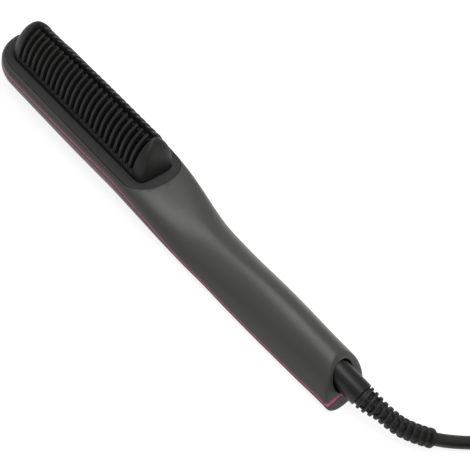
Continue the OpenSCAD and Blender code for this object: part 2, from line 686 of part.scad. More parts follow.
// Bar with round ends
module lens_shape(grow, h) {
  translate([-(lens_len - lens_w) / 2, -lens_w / 2 - grow, 0]) cube([lens_len - lens_w,
    lens_w + 2 * grow, h]);
  for (s = [-1, 1]) translate([s * (lens_len - lens_w) / 2, 0, 0]) cylinder(r = lens_w / 2 + grow, h = h);
}
pipe_foot = 0.3;
module light_pipe() color([0.9, 0.92, 0.95, 0.6]) placed() {
  translate([led_x, 0, -land_drop + pipe_foot]) lens_shape(0, shell_floor + land_drop - pipe_foot);
  translate([led_x - lens_len / 2 - 1, -lens_w / 2 - 1, shell_floor]) cube([lens_len + 2, lens_w + 2, 0.6]);
  for (i = [0:led_count - 1])
    translate([led_x + (i - (led_count - 1) / 2) * led_pitch, 0, shell_floor])
      cylinder(r = 0.7, h = board_z - led_size[2] - pipe_gap - shell_floor);
}
module button(x, r) translate([x, 0, 0]) {
  translate([0, 0, button_face]) cylinder(r = r, h = shell_floor + floor_gap - button_face +
    button_flange_t);
  translate([0, 0, shell_floor + floor_gap]) cylinder(r = r + button_flange_w, h = button_flange_t);
  translate([0, 0, shell_floor]) cylinder(r = plunger_r, h = button_top - shell_floor);
}
module power_button() color(matt_black) placed() button(power_x, power_r);
module temp_up_button() color(matt_black) placed() button(temp_up_x, temp_r);
module temp_down_button() color(matt_black) placed() button(temp_down_x, temp_r);

board_top = board_z + board_t;
module film_capacitor() color([0.75, 0.6, 0.15]) placed()
  translate([power_x - 10, -8, board_top]) cube([13, 6, 7.5]);
module electrolytic_capacitor() color([0.12, 0.14, 0.3]) placed()
  translate([power_x - 5, 4, board_top]) cylinder(r = 4, h = 8);
triac_x = temp_down_x + 3;
module triac() color([0.1, 0.1, 0.1]) placed()
  translate([triac_x, -5, board_top]) cube([4.5, 10, 7]);
terminal_x = power_x + 5;
module terminal_block() color([0.15, 0.45, 0.3]) placed()
  translate([terminal_x, -5.2, board_top]) cube([5, 7.4, 6]);

// ================= Wires inside the housing =================
wire_r = 0.7;
wire_gap = 0.2;
wire_y = 3;
wire_z = spreader_bottom - wire_r - 0.05;
wire_sides = 8;
heater_wire_end = heater_x + heater_len;
wire_bed = board_top + wire_r;
wire_exit = guard_rear + 5;
bend_x = 150;
bend_z = 7.4;
drop_x = board_front + 1;
drop_z = 5;
module heater_wires() color([0.85, 0.82, 0.75]) placed() for (s = [-1, 1])
  even_tube([[heater_wire_end, s * wire_y, wire_z], [last_rib + 4, s * wire_y, wire_z],
    [wire_exit, s * wire_y, wire_z], [bend_x, s * wire_y, bend_z], [drop_x, s * (wire_y + 0.5), drop_z],
    [triac_x - 11, s * (wire_y + 1), wire_bed], [triac_x, s * (wire_y + 1), wire_bed]], wire_r, wire_sides);
module sensor_wires() color([0.8, 0.75, 0.1]) placed()
  even_tube([[heater_wire_end + sensor_gap + sensor_len, 0, wire_z], [last_rib + 4, 0, wire_z],
    [wire_exit, 0, wire_z],
    [bend_x, 0, bend_z], [drop_x, 0, drop_z], [triac_x - 14, 0, wire_bed], [triac_x - 7, 0, wire_bed]],
    wire_r, wire_sides);
mains_y = -1.5;
module mains_wires() color([0.35, 0.2, 0.1]) placed() for (s = [-1, 1])
  even_tube([[terminal_x + 5, mains_y + s * 2, board_top + 3], [terminal_x + 7, mains_y + s * 2,
    board_top + 3],
    [terminal_x + 11, s * 5, board_top + 2.4], [spindle_front - 1.2, s * 6.3, swivel_z - 4]], wire_r,
      wire_sides);

// ================= Swivel =================
socket_w = 17;
module swivel_socket() color(matt_black) placed() difference() {
  intersection() {
    translate([socket_front, -socket_w / 2, shell_floor + 0.3]) cube([socket_rear - socket_front,
      socket_w, 30]);
    x_rod(12, socket_front, socket_rear - socket_front, swivel_z - 3.6);
    x_rod(barrel_flange_r + 1, socket_front - over, socket_rear - socket_front + 2 * over);
  }
  x_rod(barrel_r + barrel_gap, bearing_front - over, socket_rear);
  x_rod(barrel_flange_r + pocket_gap, socket_front - over, bearing_front - socket_front + over);
}
module swivel_barrel() color(matt_black) placed() {
  x_rod(barrel_r, flange_front, barrel_end - flange_front);
  x_rod(barrel_flange_r, flange_front, flange_len);
  x_rod(spindle_r, spindle_front, flange_front - spindle_front);
}
module slip_rings() color(brass) placed() for (x = ring_places) difference() {
  x_rod(ring_r, x, ring_w);
  x_rod(spindle_r, x - over, ring_w + 2 * over);
}
brush_gap = 0.3;
brush_t = 0.5;
module brush_block() color([0.85, 0.83, 0.78]) placed()
  translate([spindle_front - 0.4, -6.8, shell_floor + 0.3]) cube([12, 13.6,
    swivel_z - ring_r - brush_gap - brush_t - shell_floor - 0.3]);
module contact_brushes() color(brass) placed() for (x = ring_places)
  translate([x, -5, swivel_z - ring_r - brush_gap - brush_t]) cube([ring_w, 10, brush_t]);

// ================= Cord =================
// Points spread evenly over a route, on a smooth curve through its points
function route_point(r, i) = r[min(max(i, 0), len(r) - 1)];
function curve_point(r, i, t) = let (a = route_point(r, i - 1), b = route_point(r, i),
  c = route_point(r, i + 1),
    d = route_point(r, i + 2))
  0.5 * (2 * b + (c - a) * t + (2 * a - 5 * b + 4 * c - d) * t * t + (3 * b - a - 3 * c + d) * t * t * t);
function spread(r, n) = [for (k = [0:n]) let (u = k * (len(r) - 1) / n, i = min(floor(u),
  len(r) - 2)) curve_point(r, i, u - i)];

relief_steps = relief_ribs * 3;
relief_points = spread(laid(relief_route), relief_steps);
relief_radii = [for (k = [0:relief_steps]) relief_start_r + (relief_end_r - relief_start_r) * k /
  relief_steps
  - (k % 3 == 2 ? rib_low : 0)];
module strain_relief() color(guard_black) tube(relief_points, relief_radii, relief_sides);
module cord_lead() color(matt_black) even_tube(spread(laid(lead_route), 18), cord_d / 2, lead_sides);
module cord_coil() color(matt_black) translate([coil_center[0], coil_center[1], 0]) rotate_extrude()
  translate([coil_d / 2 - coil_width / 2, 0]) square([coil_width, coil_h]);
module cord_tail() color(matt_black) even_tube(spread(lifted(tail_route), 12), cord_d / 2, lead_sides);
tie_turn = -110;
tie_w = 8;
tie_t = 1;
module coil_tie() color([0.05, 0.05, 0.05]) translate([coil_center[0], coil_center[1], 0]) rotate([0,
  0, tie_turn])
  translate([coil_d / 2, 0, 0]) difference() {
  translate([-coil_width / 2 - tie_t, -tie_w / 2, 0]) cube([coil_width + 2 * tie_t, tie_w, coil_h + tie_t]);
  translate([-coil_width / 2 - tie_t / 2, -tie_w, -over]) cube([coil_width + tie_t, 2 * tie_w,
    coil_h + over + tie_t / 2]);
}
plug_len = 36;
plug_w = 26;
plug_h = 13.7;
plug_at = [coil_center[0] + 0.867 * coil_d / 2, coil_center[1] + 0.158 * coil_d / 2, coil_h];
plug_turn = -90;
plug_neck_w = 12;
pin_r = 2;
pin_len = 19;
pin_spread = 19;
module plug_frame() translate(plug_at) rotate([0, 0, plug_turn]) children();
module plug_body() color(matt_black) plug_frame() hull() {
  translate([0, -plug_neck_w / 2, 0]) cube([4, plug_neck_w, plug_neck_h]);
  translate([14, -plug_w / 2, 0]) cube([plug_len - 14, plug_w, plug_h]);
}
module plug_pins() color(steel) plug_frame() for (s = [-1, 1])
  translate([plug_len, s * pin_spread / 2, plug_h / 2]) rotate([0, 90, 0]) cylinder(r = pin_r, h = pin_len);

upper_shell();
lower_shell();
trim_strip();
bezel_plate();
comb_guard();
heating_comb();
heater_tray();
ceramic_heater();
mica_sheet();
spring_clip();
thermistor();
thermal_fuse();
tray_screws();
head_screws();
shell_screws();
circuit_board();
board_screws();
tact_switches();
status_leds();
light_pipe();
power_button();
temp_up_button();
temp_down_button();
film_capacitor();
electrolytic_capacitor();
triac();
terminal_block();
mains_wires();
heater_wires();
sensor_wires();
swivel_socket();
brush_block();
contact_brushes();
swivel_barrel();
slip_rings();
strain_relief();
cord_lead();
cord_coil();
cord_tail();
coil_tie();
plug_body();
plug_pins();
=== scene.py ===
import math
import bmesh
import bpy
import numpy as np
from mathutils import Matrix, Quaternion, Vector


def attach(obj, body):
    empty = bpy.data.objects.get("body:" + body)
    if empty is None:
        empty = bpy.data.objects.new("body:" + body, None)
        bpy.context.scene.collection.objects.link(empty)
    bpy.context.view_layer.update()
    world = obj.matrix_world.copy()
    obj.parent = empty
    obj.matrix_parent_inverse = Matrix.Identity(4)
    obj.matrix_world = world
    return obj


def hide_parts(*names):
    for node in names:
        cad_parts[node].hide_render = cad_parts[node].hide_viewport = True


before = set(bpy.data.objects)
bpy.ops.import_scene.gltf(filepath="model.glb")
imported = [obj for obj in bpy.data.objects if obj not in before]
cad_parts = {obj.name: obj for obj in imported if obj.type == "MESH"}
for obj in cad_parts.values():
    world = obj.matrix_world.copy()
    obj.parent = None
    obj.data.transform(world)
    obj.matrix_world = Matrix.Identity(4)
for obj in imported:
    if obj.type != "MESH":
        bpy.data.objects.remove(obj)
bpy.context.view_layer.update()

# Sizes are in millimetres along the comb (from the nose), across it, and up from the grip's seam.
# Everything is moved to the frame's own place and to metres when its mesh is made.
place = {"middle": 145.7, "lift": 6.2}
scene = bpy.context.scene


def toMetres(p):
    return tuple(c / 1000 for c in p)


def toFrame(p):
    return toMetres((p[0] - place["middle"], p[1], p[2] + place["lift"]))


def addObject(name, data):
    made = bpy.data.objects.new(name, data)
    scene.collection.objects.link(made)
    return made


cameraValues = {"eye": (0.18235, -0.2592, 0.3825), "lens": 67.02, "sensor": 36, "near": 0.01, "far": 20,
                "right": (0.67216, 0.69723, 0.24914), "up": (-0.67451, 0.43785, 0.59441),
                "back": (0.30536, -0.56758, 0.7646)}


def makeCamera():
    v = cameraValues
    camera = addObject("camera", bpy.data.cameras.new("camera"))
    camera.data.lens = v["lens"]
    camera.data.sensor_width = v["sensor"]
    camera.data.clip_start = v["near"]
    camera.data.clip_end = v["far"]
    turn = Matrix((v["right"], v["up"], v["back"])).transposed()
    camera.matrix_world = Matrix.LocRotScale(Vector(v["eye"]), turn.to_quaternion(), None)
    scene.camera = camera


makeCamera()
print("camera placed")

# The mains lead is one curve from the swivel barrel through the coil to the plug.
lead = {"diameter": 7.0, "start": (145.7, 0.0), "axisHeight": 13.8, "stiffness": "medium",
        "coilMiddle": (258.95, 25.46), "inner": 37.5, "outer": 44.5, "rows": (3.5, 10.5, 17.5),
        "entryAngle": 120.0, "shiftWidth": 80, "pointsPerTurn": 24, "coilRadius": 41.0,
        "neckHeight": 10.7, "tailAngle": 90.0, "curveSteps": 5, "measureSteps": 64}
# along and across from the barrel's end, and the share of the way up from the floor to the swivel's axis
leadRoute = [(0, 0, 1), (3.3, 0.3, 0.99), (6.8, 1, 0.96), (10.3, 2, 0.91), (13.8, 3, 0.83), (17.3, 4, 0.75),
             (20.8, 5.2, 0.66), (24.3, 7, 0.56), (27.8, 9.5, 0.46), (31.3, 12.2, 0.36), (34.6, 15.2, 0.26),
             (37.6, 18, 0.18), (41.1, 21.4, 0.12), (45.3, 26, 0.06), (49.3, 30.8, 0.02), (53.3, 35.8, 0),
             (57.3, 41, 0), (61.4, 45.1, 0), (66.6, 49.3, 0), (73, 53.5, 0), (81.8, 58.7, 0)]
# where a turn changes its column or row: (degrees wound so far, column after, row after)
coilShifts = [(280, "inner", 0), (616, "inner", 1), (952, "outer", 1), (1288, "outer", 2), (1624, "inner", 2)]
# from the coil to the plug: along and across from its middle in coil radii, and the share of the way up
tailRoute = [(0.237, 0.886, 0.09), (0.327, 0.861, 0.17), (0.503, 0.789, 0.36), (0.654, 0.673, 0.58),
             (0.769, 0.522, 0.79), (0.842, 0.346, 0.94), (0.867, 0.158, 1)]


def clamped(t):
    return min(1.0, max(0.0, t))


def easeStep(t):
    t = clamped(t)
    return t * t * (3 - 2 * t)


def coilPoint(wound):
    radius, height = lead["outer"], lead["rows"][0]
    for begin, column, row in coilShifts:
        share = (1 - math.cos(math.pi * clamped((wound - begin) / lead["shiftWidth"]))) / 2
        radius += (lead[column] - radius) * share
        height += (lead["rows"][row] - height) * share
    angle = math.radians(lead["entryAngle"] - wound)
    cx, cy = lead["coilMiddle"]
    return (cx + radius * math.cos(angle), cy + radius * math.sin(angle), height)


def leadPoints():
    half = lead["diameter"] / 2
    x0, y0 = lead["start"]
    points = [(x0 + x, y0 + y, half + up * (lead["axisHeight"] - half)) for x, y, up in leadRoute]
    turns = coilShifts[-1][0] // 360 + 1
    total = lead["entryAngle"] - lead["tailAngle"] + 360 * turns
    count = round(total / 360 * lead["pointsPerTurn"])
    points += [coilPoint(total * i / count) for i in range(count + 1)]
    cx, cy = lead["coilMiddle"]
    reach = lead["coilRadius"]
    rise = (lead["diameter"] + lead["neckHeight"]) / 2
    points += [(cx + x * reach, cy + y * reach, lead["rows"][-1] + up * rise) for x, y, up in tailRoute]
    return [toMetres(p) for p in points]


def makeLead():
    points = leadPoints()
    floorLevel = lead["diameter"] / 2 / 1000
    data = bpy.data.curves.new("mains_lead", "CURVE")
    data.dimensions = "3D"
    data.resolution_u = data.bevel_resolution = lead["curveSteps"]
    data.bevel_depth = floorLevel
    data.use_fill_caps = True
    spline = data.splines.new("BEZIER")
    spline.bezier_points.add(len(points) - 1)
    for knot, point in zip(spline.bezier_points, points):
        knot.co = point
        knot.handle_left_type = knot.handle_right_type = "AUTO"
    cord = addObject("mains_lead", data)
    bpy.context.view_layer.update()
    for knot in spline.bezier_points:
        # the handles are held at the floor where the lead lies on it
        knot.handle_left_type = knot.handle_right_type = "FREE"
        if knot.co.z <= floorLevel + 1e-6:
            knot.handle_left.z = knot.handle_right.z = floorLevel
    length = spline.calc_length(resolution=lead["measureSteps"])
    print("lead length, mm:", round(length * 1000))
    return cord, length


cord, cordLength = makeLead()
print("cord laid")


def operator(operation, reflected=False):
    def run(self, other):
        return self.maths(operation, other, self) if reflected else self.maths(operation, self, other)
    return run


class Pen:
    # one socket of a node tree; sums, differences and products add Math nodes
    def __init__(self, tree, socket=None):
        self.tree = tree
        self.socket = socket

    def make(self, kind, values=None, settings=None, out=0):
        node = self.tree.nodes.new(kind)
        for name, value in (settings or {}).items():
            setattr(node, name, value)
        for key, value in (values or {}).items():
            if isinstance(key, int):
                socket = node.inputs[key]
            else:
                socket = next(s for s in node.inputs if key in (s.identifier, s.name))
            self.feed(socket, value)
        if isinstance(out, int):
            return Pen(self.tree, node.outputs[out])
        return Pen(self.tree, next(s for s in node.outputs if out in (s.identifier, s.name)))

    def feed(self, socket, value):
        if isinstance(value, Pen):
            self.tree.links.new(value.socket, socket)
        else:
            socket.default_value = value

    def maths(self, operation, first, second):
        return self.make("ShaderNodeMath", {0: first, 1: second}, {"operation": operation})

    __add__, __radd__ = operator("ADD"), operator("ADD", True)
    __sub__, __rsub__ = operator("SUBTRACT"), operator("SUBTRACT", True)
    __mul__, __rmul__ = operator("MULTIPLY"), operator("MULTIPLY", True)


def linear(colour):
    shares = (c / 255 for c in colour)
    return tuple(c / 12.92 if c <= 0.04045 else ((c + 0.055) / 1.055) ** 2.4 for c in shares) + (1.0,)


def noiseOf(pen, vector, size, detail):
    # size is that of one blotch, in millimetres
    return pen.make("ShaderNodeTexNoise", {"Vector": vector, "Scale": 1000 / size, "Detail": detail})


def newMaterial(name):
    material = bpy.data.materials.new(name)
    material.use_nodes = True
    tree = material.node_tree
    shader = next(n for n in tree.nodes if n.type == "BSDF_PRINCIPLED")
    return material, Pen(tree), shader


# how much each pattern counts in the colour, the roughness and the height
mixes = {"clouds": 0.7, "grain": 0.3, "grainRough": 0.06, "rubHeight": 0.25, "lines": 0.6, "marks": 0.4,
         "lineRough": 0.2, "markRough": 0.12, "hazeRough": 0.1}


def moulded(pen, spot, v):
    # moulded plastic: an even spark-eroded grain, faint flow clouds and handling marks
    clouds = noiseOf(pen, spot, v["cloudSize"], 3.0)
    grain = noiseOf(pen, spot, v["grainSize"], 1.0)
    rubs = noiseOf(pen, spot, v["rubSize"], 5.0)
    m = mixes
    rough = v["rough"] + (rubs - 0.5) * v["roughSpread"] + (grain - 0.5) * m["grainRough"]
    return clouds * m["clouds"] + grain * m["grain"], rough, grain + rubs * m["rubHeight"], {"IOR": v["ior"]}


def brushed(pen, spot, v):
    # drawn or turned metal: fine lines along one axis, with darker marks
    stretched = pen.make("ShaderNodeMapping", {"Vector": spot, "Scale": v["stretch"]})
    lines = noiseOf(pen, stretched, v["lineSize"], 4.0)
    marks = noiseOf(pen, spot, v["markSize"], 3.0)
    m = mixes
    rough = v["rough"] + (lines - 0.5) * m["lineRough"] + (marks - 0.5) * m["markRough"]
    return lines * m["lines"] + marks * m["marks"], rough, lines, {"Metallic": v["metallic"]}


def clear(pen, spot, v):
    # frosted clear plastic with a faint haze
    haze = noiseOf(pen, spot, v["hazeSize"], 3.0)
    fixed = {"Transmission Weight": v["clear"], "IOR": v["ior"]}
    return haze, v["rough"] + (haze - 0.5) * mixes["hazeRough"], haze, fixed


def newFinish(name, look, v):
    # look gives how light, how rough and how high each spot is, and the shader's plain values
    material, pen, shader = newMaterial(name)
    spot = pen.make("ShaderNodeTexCoord", out="Object")
    tint, rough, height, fixed = look(pen, spot, v)
    colours = {"Factor_Float": tint, "A_Color": linear(v["dark"]), "B_Color": linear(v["light"])}
    pen.feed(shader.inputs["Base Color"],
             pen.make("ShaderNodeMix", colours, {"data_type": "RGBA"}, "Result_Color"))
    pen.feed(shader.inputs["Roughness"], rough)
    bump = {"Height": height, "Distance": v["depth"] / 1000, "Strength": 1.0}
    pen.feed(shader.inputs["Normal"], pen.make("ShaderNodeBump", bump))
    for key, value in fixed.items():
        shader.inputs[key].default_value = value
    return material


# Each row is a finish: its material's name, its darkest and lightest colour, then the columns named above it.
# Sizes and depths are in millimetres.
plasticColumns = ("dark", "light", "cloudSize", "grainSize", "rubSize", "rough", "roughSpread", "depth",
                  "ior")
plastics = {
    "shell": ("gunmetal_shell", (62, 62, 60), (70, 70, 68), 30, 0.28, 6, 0.36, 0.12, 0.012, 1.4),
    "trim": ("pink_trim", (206, 76, 128), (220, 94, 146), 18, 0.5, 4, 0.3, 0.1, 0.004, 1.49),
    "bezel": ("black_bezel", (49, 49, 49), (57, 57, 57), 14, 0.35, 3, 0.7, 0.14, 0.018, 1.24),
    "guard": ("black_guard", (25, 25, 24), (32, 32, 31), 9, 0.22, 2.5, 0.5, 0.12, 0.01, 1.4),
    "swivel": ("black_swivel", (14, 14, 15), (20, 20, 20), 8, 0.2, 2, 0.38, 0.12, 0.006, 1.42),
    "relief": ("soft_relief", (20, 20, 19), (28, 28, 27), 5, 0.25, 1.5, 0.56, 0.16, 0.014, 1.46),
    "cord": ("cord_jacket", (24, 24, 23), (33, 33, 31), 12, 0.3, 2.5, 0.5, 0.18, 0.012, 1.46),
    "plug": ("plug_plastic", (20, 20, 21), (28, 28, 29), 10, 0.3, 3, 0.46, 0.14, 0.015, 1.48),
    "button": ("button_rubber", (24, 24, 25), (32, 32, 33), 5, 0.2, 1.5, 0.6, 0.12, 0.01, 1.45),
    "tray": ("tray_plastic", (36, 35, 34), (48, 47, 45), 12, 0.4, 4, 0.6, 0.12, 0.02, 1.46),
    "component": ("component_plastic", (26, 27, 32), (40, 41, 48), 4, 0.2, 1, 0.45, 0.14, 0.006, 1.5),
    "ceramic": ("fired_ceramic", (216, 210, 196), (236, 232, 222), 6, 0.15, 2, 0.62, 0.2, 0.012, 1.6),
    "mica": ("mica_flake", (176, 152, 104), (212, 192, 146), 5, 0.6, 1.5, 0.34, 0.2, 0.02, 1.58),
    "board": ("board_laminate", (18, 74, 42), (34, 102, 60), 2.4, 0.4, 3, 0.36, 0.1, 0.01, 1.55),
    "film": ("capacitor_film", (178, 142, 34), (206, 170, 58), 4, 0.3, 1.5, 0.4, 0.12, 0.008, 1.5),
    "brownWire": ("brown_sleeve", (84, 50, 26), (104, 66, 38), 4, 0.2, 1.5, 0.45, 0.12, 0.006, 1.48),
    "whiteWire": ("woven_glass_sleeve", (204, 198, 184), (228, 224, 212), 1.2, 0.25, 1, 0.7, 0.1, 0.03, 1.46),
}
metalColumns = ("dark", "light", "stretch", "lineSize", "markSize", "rough", "depth", "metallic")
metals = {
    "steel": ("zinc_steel", (150, 150, 154), (196, 196, 200), (1, 1, 0.08), 0.12, 1.4, 0.32, 0.004, 1.0),
    "brass": ("spring_brass", (176, 136, 66), (214, 178, 104), (1, 0.1, 1), 0.15, 1.2, 0.3, 0.004, 1.0),
    "pin": ("nickel_pin", (170, 168, 162), (208, 206, 200), (1, 0.05, 1), 0.1, 2, 0.24, 0.003, 1.0),
    "heated": ("coated_comb_metal", (18, 18, 19), (34, 34, 35), (1, 1, 0.1), 0.2, 2, 0.5, 0.006, 0.5),
}
clearColumns = ("dark", "light", "hazeSize", "rough", "depth", "clear", "ior")
clears = {"clear": ("frosted_clear", (206, 212, 218), (236, 240, 244), 1.2, 0.3, 0.006, 0.6, 1.49)}
finishes = {}
for look, columns, rows in ((moulded, plasticColumns, plastics), (brushed, metalColumns, metals),
                            (clear, clearColumns, clears)):
    for key, (name, *values) in rows.items():
        finishes[key] = newFinish(name, look, dict(zip(columns, values)))
print("finishes mixed")


def addPiece(name, mesh, body, finish, replaced, smooth=40):
    # smooth is the angle in degrees over which an edge is drawn sharp
    mesh.name = name
    mesh.materials.clear()
    mesh.materials.append(finishes[finish])
    mesh.shade_smooth()
    mesh.set_sharp_from_angle(angle=math.radians(smooth))
    piece = addObject(name, mesh)
    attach(piece, body)
    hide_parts(*replaced)
    print(name, "made")
    return piece


def meshFrom(points, faces, convert=toFrame):
    mesh = bpy.data.meshes.new("mesh")
    mesh.from_pydata([convert(p) for p in points], [], faces)
    work = bmesh.new()
    work.from_mesh(mesh)
    bmesh.ops.remove_doubles(work, verts=work.verts, dist=1e-7)
    bmesh.ops.recalc_face_normals(work, faces=work.faces)
    work.to_mesh(mesh)
    work.free()
    return mesh


def gridFaces(rings, count, start=0, closed=True, wrap=False):
    faces = []
    for i in range(rings if wrap else rings - 1):
        for j in range(count if closed else count - 1):
            a, b = start + i * count, start + (i + 1) % rings * count
            k = (j + 1) % count
            faces.append((a + j, a + k, b + k, b + j))
    return faces


def loftMesh(rings, wrap=False, convert=toFrame):
    # skin over closed rings that all have the same number of points, capped unless it wraps round
    count = len(rings[0])
    points = [p for ring in rings for p in ring]
    faces = gridFaces(len(rings), count, wrap=wrap)
    if not wrap:
        faces += [tuple(range(count)), tuple(range(len(points) - count, len(points)))]
    return meshFrom(points, faces, convert)


def joinMeshes(meshes):
    work = bmesh.new()
    for mesh in meshes:
        work.from_mesh(mesh)
    joined = bpy.data.meshes.new("mesh")
    work.to_mesh(joined)
    work.free()
    return joined


def bakeObject(holder):
    # the holder's modifiers are turned into a plain mesh and the holder goes
    graph = bpy.context.evaluated_depsgraph_get()
    graph.update()
    mesh = bpy.data.meshes.new_from_object(holder.evaluated_get(graph), depsgraph=graph)
    bpy.data.objects.remove(holder)
    return mesh


def healMesh(mesh, reach):
    # closes the hairline slivers that a cut can leave
    work = bmesh.new()
    work.from_mesh(mesh)
    bmesh.ops.remove_doubles(work, verts=work.verts, dist=reach)
    bmesh.ops.triangulate(work, faces=work.faces)
    bmesh.ops.dissolve_degenerate(work, edges=work.edges, dist=reach)
    bmesh.ops.triangulate(work, faces=work.faces)
    work.verts.index_update()
    flaps = {}
    for face in work.faces:
        flaps.setdefault(frozenset(v.index for v in face.verts), []).append(face)
    doubled = [face for group in flaps.values() if len(group) > 1 for face in group]
    bmesh.ops.delete(work, geom=doubled, context="FACES")
    work.to_mesh(mesh)
    work.free()
    return mesh


def carve(mesh, steps, reach=2e-6):
    # steps are (operation, cutting mesh); the cuts are exact
    holder = addObject("carved", mesh)
    tools = []
    for operation, cutter in steps:
        tools.append(addObject("cutter", cutter))
        cut = holder.modifiers.new("cut", "BOOLEAN")
        cut.operation = operation
        cut.solver = "EXACT"
        cut.object = tools[-1]
    result = bakeObject(holder)
    for tool in tools:
        bpy.data.objects.remove(tool)
    return healMesh(result, reach)


# The housing's form follows the same rules as the solid model.
# A span is where a change starts and how long it is.
housing = {"noseLen": 24.2, "length": 283.0, "headWidth": 45.6, "shoulderWidth": 42.4, "neckWidth": 35.2,
           "gripWidth": 33.6, "tailWidth": 30.4, "headTop": 15.5, "shoulderTop": 16.3, "neckTop": 13.6,
           "gripTop": 17.9, "tailTop": 18.4, "headSeam": 10.4, "seamSpan": (107, 77), "gripDrop": 0.9,
           "gripIn": (186, 22), "gripOut": (258, 20), "land": 6.2, "landSoft": 0.12, "wall": 2.2,
           "headRoof": 1.5, "roofSpan": (136, 16), "trim": 1.1, "tailTrim": 1.8, "tailTrimLen": 1.4,
           "slope": 0.7, "leanFrom": 230, "tailWall": 3.6, "wallFrom": 200, "tailRound": 1.6,
           "noseTopShare": 0.8, "noseKeelShare": 0.3, "headKeel": 5.2, "keelExtra": 1.0, "keelSpan": (30, 60),
           "headPower": 4.3, "gripPower": 1.85, "powerSpan": (113, 62), "lip": 0.3, "across": 112,
           "noseSteps": 22, "noseAngle": 3, "midSteps": 96}
widthKnots = [(housing["noseLen"], housing["headWidth"] / 2), (124, housing["shoulderWidth"] / 2),
              (186, housing["neckWidth"] / 2), (228, housing["gripWidth"] / 2),
              (housing["length"], housing["tailWidth"] / 2)]
topKnots = [(housing["noseLen"], housing["headTop"]),
            (90, (housing["headTop"] * 2 + housing["shoulderTop"]) / 3),
            (134, housing["shoulderTop"]), (176, housing["neckTop"]), (228, housing["gripTop"]),
            (housing["length"], housing["tailTop"])]


def between(a, b, t):
    return a + (b - a) * easeStep(t)


def passed(x, span):
    return (x - span[0]) / span[1]


def knotSlope(knots, i):
    if i <= 0 or i >= len(knots) - 1:
        return 0.0
    return (knots[i + 1][1] - knots[i - 1][1]) / (knots[i + 1][0] - knots[i - 1][0])


def along(knots, x):
    # smooth curve through the knots, level at both ends
    i = 0
    while i < len(knots) - 2 and x >= knots[i + 1][0]:
        i += 1
    wide = knots[i + 1][0] - knots[i][0]
    t = clamped((x - knots[i][0]) / wide)
    return (knots[i][1] * (2 * t ** 3 - 3 * t ** 2 + 1)
            + knotSlope(knots, i) * wide * (t ** 3 - 2 * t ** 2 + t)
            + knots[i + 1][1] * (3 * t ** 2 - 2 * t ** 3)
            + knotSlope(knots, i + 1) * wide * (t ** 3 - t ** 2))


def halfWidth(x):
    return along(widthKnots, x)


def crown(x):
    return along(topKnots, x)


def seam(x):
    v = housing
    grip = easeStep(passed(x, v["gripIn"])) * (1 - easeStep(passed(x, v["gripOut"])))
    return between(v["headSeam"], 0, passed(x, v["seamSpan"])) - v["gripDrop"] * grip


def trimHalf(x):
    # half the trim's height; it is taller on the tail face
    v = housing
    edge = v["length"] - v["tailRound"]
    return between(v["trim"], v["tailTrim"], (x - edge) / v["tailTrimLen"]) / 2


def keel(x):
    v = housing
    return -between(v["headKeel"], v["land"] + v["keelExtra"], passed(x, v["keelSpan"]))


def crownPower(x):
    return between(housing["headPower"], housing["gripPower"], passed(x, housing["powerSpan"]))


def rimInset(x):
    r = housing["tailRound"]
    over = x - housing["length"] + r
    return 0.0 if over <= 0 else r - math.sqrt(max(0.0, r * r - over * over))


def sheared(x, z, inner):
    # leans the tail face; the inner skin stops a wall's thickness before it
    v = housing
    lean = easeStep((x - v["leanFrom"]) / (v["length"] - v["leanFrom"]))
    shift = v["tailWall"] * easeStep((x - v["wallFrom"]) / (v["length"] - v["wallFrom"])) if inner else 0.0
    return x - v["slope"] * z * lean - shift


def stations(inset):
    # places along the housing, and the nose's share of the full width at each
    v = housing
    nose, first = v["noseLen"], v["noseAngle"]
    angles = [math.radians(first + (90 - first) * i / v["noseSteps"]) for i in range(v["noseSteps"] + 1)]
    places = [(nose - (nose - inset) * math.cos(a), math.sin(a)) for a in angles]
    end = v["length"] - v["tailRound"]
    places += [(nose + (end - nose) * i / v["midSteps"], 1.0) for i in range(1, v["midSteps"] + 1)]
    places += [(end + v["tailRound"] * math.sin(math.radians(a)), 1.0) for a in range(9, 91, 9)]
    return places


def runOf(a, b):
    # distance run along the points of a plane curve
    return np.concatenate(([0], np.cumsum(np.hypot(np.diff(a), np.diff(b)))))


def evenArch(w, h, power, count):
    # evenly spaced points on half a rounded arch, from +w over the top to -w
    t = np.linspace(0, math.pi, 1801)
    y = w * np.sign(np.cos(t)) * np.abs(np.cos(t)) ** (2 / power)
    z = h * np.abs(np.sin(t)) ** (2 / power)
    run = runOf(y, z)
    at = np.linspace(0, run[-1], count + 1)
    return np.interp(at, run, y), np.interp(at, run, z)


def roundings(radius, angles):
    # how far in and how far down a rounded corner is at each angle
    turns = [math.radians(a) for a in angles]
    return [(radius * (1 - math.cos(a)), radius * (1 - math.sin(a))) for a in turns]


def lipped(ys, zs, lip):
    # turns the arch's two ends in by a small round lip
    lip = min(lip, abs(ys[0]) * 0.5)
    start = [(ys[0] - inward, up) for up, inward in roundings(lip, (0, 30, 60))]
    first = next(i for i, z in enumerate(zs) if z > lip * 1.05)
    run = runOf(ys, zs)
    taken = np.interp(lip, zs[:first + 1], run[:first + 1])
    at = np.linspace(taken, run[-1] - taken, len(ys) - 2 * len(start))
    middle = list(zip(np.interp(at, run, ys), np.interp(at, run, zs)))
    return start + middle + [(-y, z) for y, z in reversed(start)]


def halfRing(x, share, inset, height, power):
    # one shell's skin as (across, away from the seam)
    w = (halfWidth(x) - (inset or rimInset(x))) * share
    ys, zs = evenArch(w, height, power, housing["across"])
    return list(zip(ys, zs)) if inset else lipped(ys, zs, housing["lip"])


def upperRing(x, share, inset):
    v = housing
    roof = inset + between(v["headRoof"], 0, passed(x, v["roofSpan"])) if inset else rimInset(x)
    z0 = seam(x) + trimHalf(x)
    height = (crown(x) - roof - z0) * between(v["noseTopShare"], 1, share)
    return [(sheared(x, z0 + z, inset), y, z0 + z)
            for y, z in halfRing(x, share, inset, height, crownPower(x))]


